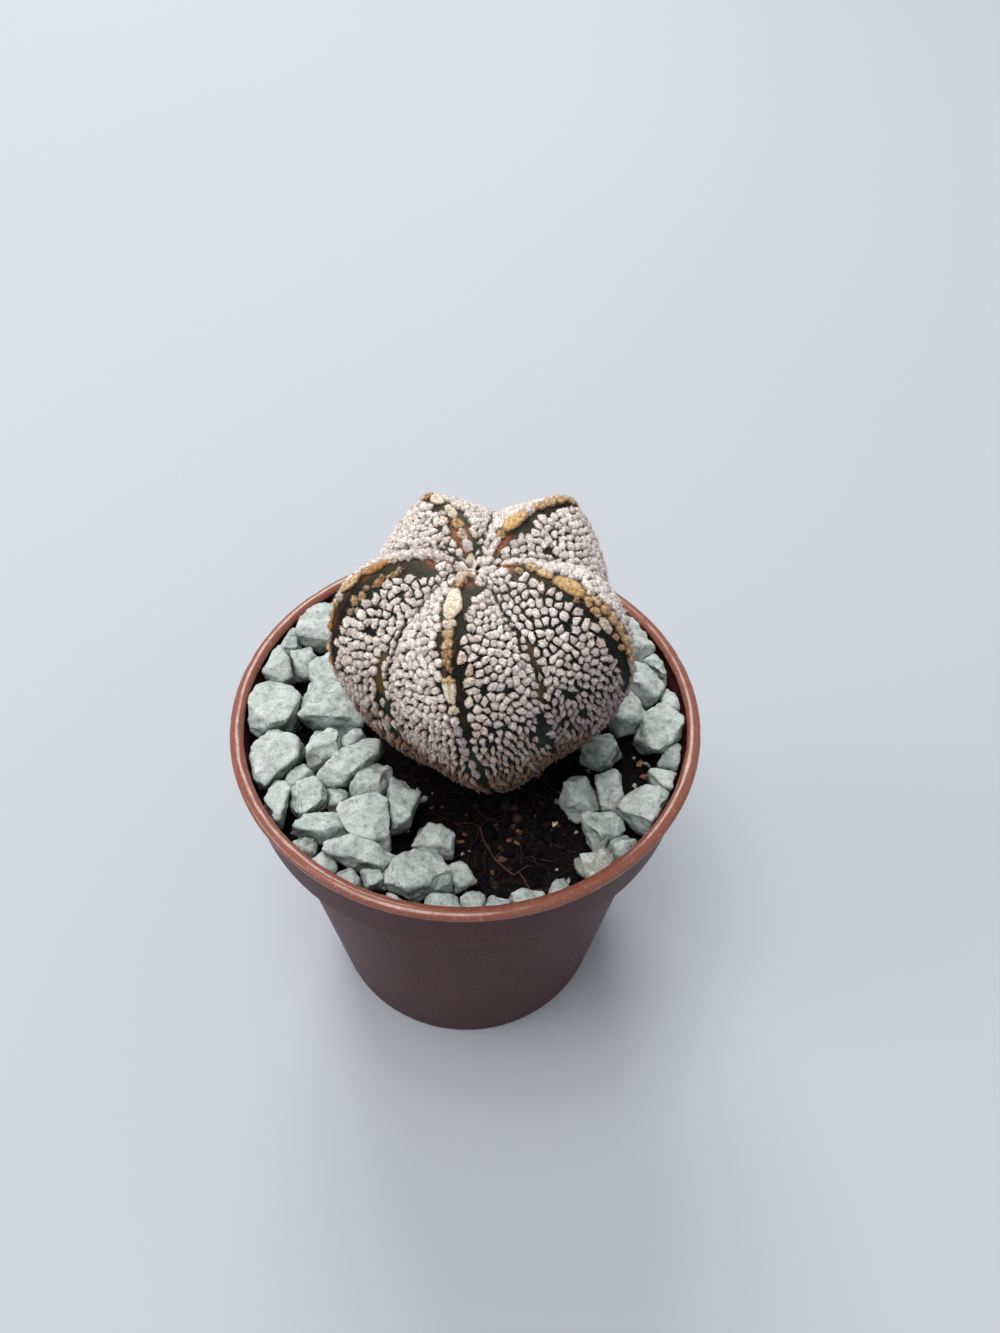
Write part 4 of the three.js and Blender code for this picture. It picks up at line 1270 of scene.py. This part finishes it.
def crown_spots(draw):
    """Small tufts that fill the sunken crown between the first pads."""
    spots = []
    for number in range(CROWN_TUFTS):
        place = (number * GOLDEN_SHARE * RIBS) % RIBS
        along = 0.012 + 0.03 * math.sqrt((number + 0.5) / CROWN_TUFTS)
        point, out, lie = skin_frame(np.array([place]), np.array([along]))
        tint = mixed(PALE, CREAM, draw.uniform(0, 0.6))
        size = (draw.uniform(0.8, 1.2), draw.uniform(0.6, 0.9), 0.7)
        spots.append((point[0], out[0], lie[0], size, tint, 0.1, number % TUFT_KINDS))
    return gathered(spots)


def make_wool(tree, material):
    draw = np.random.default_rng(WOOL_SEED)
    lumps = [woolly_lump(draw, TUFT_SIDES, TUFT_RINGS, TUFT_KNOB) for _ in range(TUFT_KINDS)]
    tufts = Shapes("tuft", lumps + [flake(draw) for _ in range(FLAKE_KINDS)])
    pads = Shapes("pad", [woolly_lump(draw, PAD_SIDES, PAD_RINGS, knob) for knob in PAD_KNOBS])
    hair = Shapes("hair", [HAIR_SHAPE])
    pad_places = pad_spots(draw)
    for valley in range(RIBS):
        flecks, sides = fleck_spots(valley, draw, pad_places)
        piece = tufts.scatter(tree, f"valley_{valley + 1}_wool", flecks, material, 0.24, 0.14)
        points, owner = pressed(piece, valley, flecks["place"], sides, draw)
        finished(piece, "cactus", "cactus")
        spots = hair_spots(points, owner, flecks, draw, HAIR_SHARE)
        piece = hair.scatter(tree, f"valley_{valley + 1}_hairs", spots, material)
        finished(piece, "cactus", "cactus")
    piece = pads.scatter(tree, "ridge_pads", pad_places, material, 0.3, 0.13)
    points = points_of(piece)
    count = len(pad_places["place"])
    owner = np.repeat(np.arange(count), len(points) // count)
    finished(piece, "cactus", "cactus")
    spots = hair_spots(points, owner, pad_places, draw, PAD_HAIR_SHARE)
    finished(hair.scatter(tree, "ridge_hairs", spots, material), "cactus", "cactus")
    piece = tufts.scatter(tree, "crown_wool", crown_spots(draw), material, 0.4, 0.08)
    finished(piece, "cactus", "cactus")
    for shapes in (tufts, pads, hair):
        shapes.clear()


# Soil

def inner_radius(height):
    above = np.clip((height - COLLAR_FOOT) / (RIM_HEIGHT - COLLAR_FOOT), 0, 1)
    return mixed(COLLAR_FOOT_RADIUS, COLLAR_TOP_RADIUS, above) - WALL


def bareness(points):
    """1 on the bare patch at the front, 0 under the stones."""
    away = (points[:, :2] - BARE_PATCH) / BARE_PATCH_SPREAD
    return 1 - smooth(np.hypot(*away.T), 0.6, 1.05)


def soil_height(points):
    """Height of the soil, clear of the plant's underside."""
    points = np.asarray(points, float)
    flat = np.concatenate([points[:, :2], np.zeros((len(points), 1))], 1)
    mound = 1 - smooth(np.hypot(*(points[:, :2] - BODY_CENTRE[:2]).T), MOUND_INNER_RADIUS, MOUND_OUTER_RADIUS)
    slope = smooth(np.hypot(*(points[:, :2] - BARE_PATCH).T), 8, 20)
    clods = 0.6 * rough(flat, 2.2, 1) + 0.4 * rough(flat, 0.9, 4) + 0.2 * rough(flat, 0.42, 7)
    height = SOIL_TOP + SOIL_RISE * np.maximum(slope, MOUND_SHARE * mound)
    height += clods * (0.5 + 0.9 * bareness(points))
    sine, cosine = math.sin(BODY_LEAN), math.cos(BODY_LEAN)
    neck = BODY_CENTRE[0] + sine * RIDGE[-1][1]
    body_x = (points[:, 0] - neck) / cosine
    reach = np.hypot(body_x, points[:, 1] - BODY_CENTRE[1])
    lowest = RIDGE[-4:][::-1]
    under = np.interp(reach - 2 * CLEARANCE, lowest[:, 0], lowest[:, 1], right=99)
    return np.minimum(height, BODY_CENTRE[2] + cosine * under - sine * body_x - CLEARANCE)


def make_soil(material):
    """A closed bed of soil with a hole for the root."""
    angles = np.arange(SOIL_SEGMENTS) / SOIL_SEGMENTS * 2 * math.pi
    around = np.stack([np.cos(angles), np.sin(angles)], 1)
    rings = []
    neck = BODY_CENTRE[:2] + [math.sin(BODY_LEAN) * RIDGE[-1][1], 0]
    hole = neck + around * (RIDGE[-1][0] + 2 * CLEARANCE)
    root_tip = leaned(np.array([0, 0, ROOT[-1][1] - 1])) + BODY_CENTRE
    for depth in HOLE_DEPTHS:
        middle = mixed(neck, root_tip[:2], depth)
        radius = mixed(RIDGE[-1][0], ROOT[-1][0], depth) + 2 * CLEARANCE
        height = np.full((SOIL_SEGMENTS, 1), mixed(SOIL_TOP - HOLE_MOUTH_BELOW, root_tip[2], depth))
        rings.append(np.concatenate([middle + around * radius, height], 1))
    for share in np.linspace(0, 1, SOIL_RINGS):
        flat = hole * (1 - share) + around * (inner_radius(SOIL_TOP) - CLEARANCE) * share
        rings.append(np.concatenate([flat, soil_height(flat)[:, None]], 1))
    for radius, height in (
        (inner_radius(COLLAR_FOOT) - CLEARANCE, COLLAR_FOOT + CLEARANCE),
        (WALL_TOP_RADIUS - WALL - CLEARANCE, WALL_TOP),
        (FOOT_RADIUS - WALL - CLEARANCE, FLOOR_TOP + CLEARANCE),
    ):
        rings.append(np.concatenate([around * radius, np.full((SOIL_SEGMENTS, 1), height)], 1))
    middle = np.array([[0, 0, FLOOR_TOP + CLEARANCE]])
    points = np.concatenate([root_tip[None] - [0, 0, 0.5], *rings, middle])
    bed = mesh_object("soil_bed", points, ring_faces(len(rings), SOIL_SEGMENTS), material)
    finished(bed, "soil", "soil")


def on_soil(flat, sunk):
    flat = np.asarray(flat, float)
    return np.concatenate([flat, (soil_height(flat) - sunk)[:, None]], 1)


def bit_spots(draw, flat, sizes, tints, kinds, sunk=0.1):
    """Loose bits that lie on the soil, turned at random."""
    count = len(flat)
    out = unit(draw.normal(0, 1, (count, 3)))
    lie = unit(np.cross(out, unit(draw.normal(0, 1, (count, 3)))))
    kind = draw.integers(0, kinds, count)
    return {"place": on_soil(flat, sunk), "out": out, "lie": lie, "size": sizes, "tint": tints, "kind": kind}


def bit_sizes(draw, count, middle, spread):
    """Length, width and height of loose bits, spread about a middle size."""
    return draw.lognormal(math.log(middle), spread, (count, 1)) * draw.uniform(0.5, 1.3, (count, 3))


def scattered(draw, count, keep):
    """Random places on the soil, kept by a share from 0 to 1 at each."""
    radius = (inner_radius(SOIL_TOP) - 1) * np.sqrt(draw.random(count))
    angle = draw.random(count) * 2 * math.pi
    flat = np.stack([radius * np.cos(angle), radius * np.sin(angle)], 1)
    return flat[draw.random(count) < keep(flat)]


PEAT_TINTS = [linear(*c) for c in ((12, 12, 16), (20, 19, 22), (34, 28, 28), (60, 45, 38), (96, 70, 56))]
PEAT_ODDS = (0.4, 0.3, 0.18, 0.09, 0.03)

# Bits that stand out on the bare soil: place (2), length, width and height, and screen colour (3)
BITS = (
    (-0.1, -14.6, 1.1, 0.6, 0.4, 130, 84, 62), (0.4, -13.7, 0.7, 0.4, 0.3, 112, 72, 54),
    (6.6, -13.1, 0.9, 0.6, 0.5, 128, 92, 74), (5.5, -14.2, 0.8, 0.6, 0.4, 120, 74, 54),
    (6.3, -14.6, 1.0, 0.5, 0.4, 120, 82, 62), (0.2, -11.2, 0.9, 0.35, 0.3, 112, 72, 54),
    (9.2, -9.2, 0.9, 0.4, 0.3, 116, 76, 58), (10.7, -11.6, 0.8, 0.75, 0.8, 214, 206, 168),
    (5.8, -10.1, 1.6, 1.2, 0.4, 66, 44, 36), (7.7, -14.7, 0.5, 0.4, 0.3, 120, 80, 58),
    (10.1, -14.5, 0.6, 0.3, 0.3, 150, 102, 74), (20.8, -4.0, 1.4, 0.7, 0.6, 150, 112, 92),
    (21.1, -5.9, 1.1, 0.8, 0.7, 128, 88, 74), (-3.6, -10.3, 0.45, 0.4, 0.3, 104, 92, 84),
    (-2.4, -10.2, 0.4, 0.3, 0.3, 90, 80, 76), (1.0, -15.8, 0.4, 0.25, 0.25, 170, 162, 156),
)

# A forked twig and roots, as points on the soil. A fork starts from a point of the twig, by its number.
TWIG = (
    (2.1, -12.7), (2.4, -13.8), (2.9, -14.9), (3.4, -15.9), (3.9, -16.8), (5.1, -17.9), (6.1, -18.6),
    (6.6, -18.3),
    (7.2, -19.3), (7.9, -20.7),
)
FORKS = (
    (4, ((4.2, -15.9), (4.9, -15.4))),
    (7, ((7.4, -17.8), (8.3, -17.6))),
    (9, ((9.0, -20.2), (10.0, -20.4))),
)
ROOTS = (
    ((2.1, -12.7), (1.7, -13.8), (1.2, -15.0), (0.95, -16.4), (0.75, -17.7), (1.05, -20.0)),
    ((2.1, -12.7), (2.6, -12.0), (3.2, -11.4), (4.2, -11.1), (5.1, -11.0)),
    ((0.9, -15.9), (-0.2, -16.3), (-1.2, -17.0), (-2.1, -19.0)),
    ((2.1, -12.7), (1.2, -12.3), (0.2, -12.5), (-1.0, -12.2)),
    ((6.3, -13.7), (6.7, -14.8), (6.9, -16.0), (6.6, -18.3)),
    ((3.0, -15.0), (2.7, -16.4), (2.9, -17.9), (2.2, -19.4)),
    ((10.4, -14.6), (11.6, -15.2), (13.0, -15.6), (14.6, -15.8)),
    ((9.0, -16.9), (10.8, -16.6), (12.6, -17.2)),
)


def make_soil_bits(tree, material, fibre_material):
    draw = np.random.default_rng(SOIL_SEED)
    crumbs = Shapes("crumb", [crumb(draw, 1, 0.35) for _ in range(CRUMB_KINDS)], False)
    flat = scattered(draw, CRUMBS, lambda spots: 0.2 + 0.8 * bareness(spots))
    count = len(flat)
    sizes = bit_sizes(draw, count, 0.55, 0.5)
    picked = np.array(PEAT_TINTS)[draw.choice(len(PEAT_TINTS), count, p=PEAT_ODDS)]
    tints = picked * draw.normal(1, 0.12, (count, 1))
    piece = crumbs.scatter(tree, "soil_crumbs", bit_spots(draw, flat, sizes, tints, CRUMB_KINDS), material)
    finished(piece, "soil", "soil")
    crumbs.clear()
    lumps = Shapes("bit", [crumb(draw, 2, 0.42) for _ in range(BIT_KINDS)])
    listed = np.array(BITS)
    clod_places = scattered(draw, CLODS, lambda spots: 0.05 + 0.95 * bareness(spots))
    count = len(clod_places)
    flat = np.concatenate([listed[:, :2], clod_places])
    sizes = np.concatenate([listed[:, 2:5], bit_sizes(draw, count, 0.9, 0.35)])
    clod_tints = mixed(PEAT_TINTS[0], PEAT_TINTS[-1], draw.random(count) ** 3)
    tints = np.concatenate([[linear(*row[5:]) for row in listed], clod_tints])
    spots = bit_spots(draw, flat, sizes, tints, BIT_KINDS, -0.15)
    turn = draw.uniform(0, 2 * math.pi, len(flat))
    spots["out"] = np.tile([0.0, 0.0, 1.0], (len(flat), 1))
    spots["lie"] = np.stack([np.cos(turn), np.sin(turn), np.zeros(len(flat))], 1)
    piece = lumps.scatter(tree, "bark_bits", spots, material)
    finished(piece, "soil", "soil")
    lumps.clear()
    make_fibres(draw, fibre_material)


def make_fibres(draw, material):
    """Peat fibres and one forked twig on the bare soil."""
    points, faces, tints = [], [], []

    def lay(path, radii, sides, tint):
        made, made_faces = strand(path, radii, sides)
        faces.extend(tuple(len(points) + corner for corner in face) for face in made_faces)
        points.extend(made)
        tints.extend([tint] * len(made))

    starts = scattered(draw, FIBRES * 3, lambda spots: 0.12 + 0.7 * bareness(spots))[:FIBRES]
    for start in starts:
        length = draw.uniform(1.5, 6)
        heading = draw.uniform(0, 2 * math.pi) + np.cumsum(draw.normal(0, 0.28, FIBRE_STEPS))
        flat = start + np.cumsum(np.stack([np.cos(heading), np.sin(heading)], 1) * length / FIBRE_STEPS, 0)
        flat *= np.minimum(1, (inner_radius(SOIL_TOP) - 0.6) / np.maximum(np.hypot(*flat.T), 1e-6))[:, None]
        arch = np.sin(np.linspace(0, math.pi, FIBRE_STEPS)) * draw.uniform(0.05, 0.8)
        path = on_soil(flat, -0.12)
        path[:, 2] += arch
        tint = np.array(PEAT_TINTS)[draw.integers(1, 4)] * draw.uniform(0.7, 1.3)
        lay(path, np.linspace(1, 0.4, FIBRE_STEPS) * draw.uniform(0.025, 0.07), 4, tint)
    for root in ROOTS:
        lay(on_soil(root, -0.3), np.linspace(0.07, 0.03, len(root)), 5, PEAT_TINTS[3])
    radii = np.linspace(0.14, 0.1, len(TWIG)) * draw.uniform(0.7, 1.3, len(TWIG))
    lay(on_soil(TWIG, -0.4), radii, 7, linear(76, 52, 44))
    for fork, ends in FORKS:
        lay(on_soil([TWIG[fork], *ends], -0.38), (0.08, 0.06, 0.03), 5, linear(84, 60, 50))
    strands = mesh_object("soil_fibres", points, faces, material)
    set_values(strands, "tint", tints)
    finished(strands, "soil", "soil")


# Crushed stone

STONE_TINTS = [
    linear(*c) for c in ((142, 152, 149), (153, 162, 158), (134, 147, 143), (158, 166, 162), (146, 156, 152))
]

# Stones of a browner or greener colour than the rest, by number. Stone 39's darker brownish grey is partly
# its own colour and partly painted shade.
ODD_STONES = {
    27: linear(62, 52, 46), 39: linear(118, 114, 102), 34: linear(104, 124, 116),
    38: linear(110, 130, 120), 12: linear(128, 138, 128), 47: linear(120, 140, 130),
}
STONE_SEED = 5
STONE_GRAIN = 0.42
CUT_ROUNDS = 5
STONE_RELIEF = {"Coarse size": 2.0, "Coarse depth": 0.26, "Fine size": 0.7, "Fine depth": 0.12}
CHIP_SEED = 23
CHIPS = 520
CHIP_KINDS = 6
CHIP_SHADE = 0.65
CHIPS_FROM_PLANT = 9


def finer(shape, limit):
    """Cuts a mesh's long edges in half until none is longer than the limit, or the rounds are used up."""
    for _ in range(CUT_ROUNDS):
        edges = [edge for edge in shape.edges if edge.calc_length() > limit]
        if edges:
            bmesh.ops.subdivide_edges(shape, edges=edges, cuts=1)
            bmesh.ops.triangulate(shape, faces=[face for face in shape.faces if len(face.verts) > 3])


def make_stones(tree, material):
    draw = np.random.default_rng(STONE_SEED)
    names = sorted(name for name in frame["nodes"] if name.startswith("stone_"))
    for index, name in enumerate(names, 1):
        mesh = frame["nodes"][name].data.copy()
        shape = bmesh.new()
        shape.from_mesh(mesh)
        bmesh.ops.remove_doubles(shape, verts=shape.verts, dist=0.002 * MM)
        finer(shape, STONE_GRAIN * MM)
        axes = {"use_axis_" + axis: True for axis in "xyz"}
        bmesh.ops.smooth_vert(shape, verts=shape.verts, factor=0.5, **axes)
        shape.to_mesh(mesh)
        shape.free()
        stone = bpy.data.objects.new(name + "_block", mesh)
        bpy.context.scene.collection.objects.link(stone)
        relief = {key: value * MM for key, value in STONE_RELIEF.items()}
        stone = grow(stone, tree, "rough_" + name, Finish=material, Seed=float(index), **relief)
        stone.data.polygons.foreach_set("use_smooth", [True] * len(stone.data.polygons))
        tint = ODD_STONES.get(index, STONE_TINTS[index % len(STONE_TINTS)]) * draw.normal(1, 0.1)
        set_values(stone, "tint", np.tile(tint, (len(stone.data.vertices), 1)))
        finished(stone, "stone", name)


def make_chips(tree, material):
    """Small chips and dust of the same stone between the large ones."""
    draw = np.random.default_rng(CHIP_SEED)
    chips = Shapes("chip", [crumb(draw, 1, 0.4) for _ in range(CHIP_KINDS)], False)
    flat = scattered(draw, CHIPS, lambda spots: 0.02 + 0.48 * (1 - bareness(spots)))
    flat = flat[np.hypot(*(flat - BODY_CENTRE[:2]).T) > CHIPS_FROM_PLANT]
    count = len(flat)
    sizes = bit_sizes(draw, count, 0.5, 0.5)
    picked = CHIP_SHADE * np.array(STONE_TINTS)[draw.integers(0, len(STONE_TINTS), count)]
    tints = picked * draw.normal(1, 0.08, (count, 1))
    spots = bit_spots(draw, flat, sizes, tints, CHIP_KINDS, -0.1)
    piece = chips.scatter(tree, "stone_chips", spots, material)
    finished(piece, "stone")
    chips.clear()


# Studio

FLOOR_HALF = 3000
SKY_COLOUR = (0.93, 0.955, 1.0, 1)
SKY_STRENGTH = 0.56

# Lights: name, place, size across, power in watts and colour
LIGHTS = (
    ("key", (-200, -150, 1180), 700, 10.5, (1.0, 0.985, 0.96)),
    ("back", (-200, 800, 800), 600, 8.5, (1.0, 0.985, 0.96)),
    ("fill", (-800, -150, 500), 500, 2.2, (1.0, 0.97, 0.94)),
)
CLIP_START = 0.005
CLIP_END = 20


def make_floor(material):
    corners = [(x * FLOOR_HALF, y * FLOOR_HALF, 0) for x, y in ((-1, -1), (1, -1), (1, 1), (-1, 1))]
    floor = mesh_object("floor", corners, [(0, 1, 2, 3)], material)


def make_light(name, place, size, power, colour):
    """A round lamp that faces the plant."""
    light = bpy.data.lights.new(name, "AREA")
    light.shape = "DISK"
    light.size = size * MM
    light.energy = power
    light.color = colour
    obj = bpy.data.objects.new(name, light)
    obj.location = Vector(place) * MM
    obj.rotation_euler = (Vector(tuple(BODY_CENTRE)) - Vector(place)).to_track_quat("-Z", "Y").to_euler()
    bpy.context.scene.collection.objects.link(obj)


def make_studio():
    make_floor(floor_finish())
    for light in LIGHTS:
        make_light(*light)
    world = bpy.data.worlds.new("studio")
    world.use_nodes = True
    background = world.node_tree.nodes["Background"]
    background.inputs["Color"].default_value = SKY_COLOUR
    background.inputs["Strength"].default_value = SKY_STRENGTH
    bpy.context.scene.world = world
    bpy.context.scene.view_settings.view_transform = "Standard"


def make_camera():
    data = bpy.data.cameras.new("camera")
    data.sensor_width = SENSOR
    data.lens = SENSOR * FOCAL_PIXELS / FRAME_HEIGHT_PIXELS
    data.clip_start = CLIP_START
    data.clip_end = CLIP_END
    camera = bpy.data.objects.new("camera", data)
    back = CAMERA_RIGHT.cross(CAMERA_UP)
    turn = Matrix((CAMERA_RIGHT, CAMERA_UP, back)).transposed().to_4x4()
    camera.matrix_world = Matrix.Translation(Vector(CAMERA_PLACE) * MM) @ turn
    bpy.context.scene.collection.objects.link(camera)
    bpy.context.scene.camera = camera


make_camera()
make_studio()
scatter = scatter_tree()
weather = weather_tree()
wool = wool_finish()
stone = stone_finish()
bits = tinted_finish("peat_bits", 0.9, 0.08)
fibres = tinted_finish("peat_fibre", 0.8, 0.03)
make_pot(plastic_finish())
make_soil(peat_finish())
make_soil_bits(scatter, bits, fibres)
make_stones(weather, stone)
make_chips(scatter, stone)
make_skin(skin_finish())
make_wool(scatter, wool)
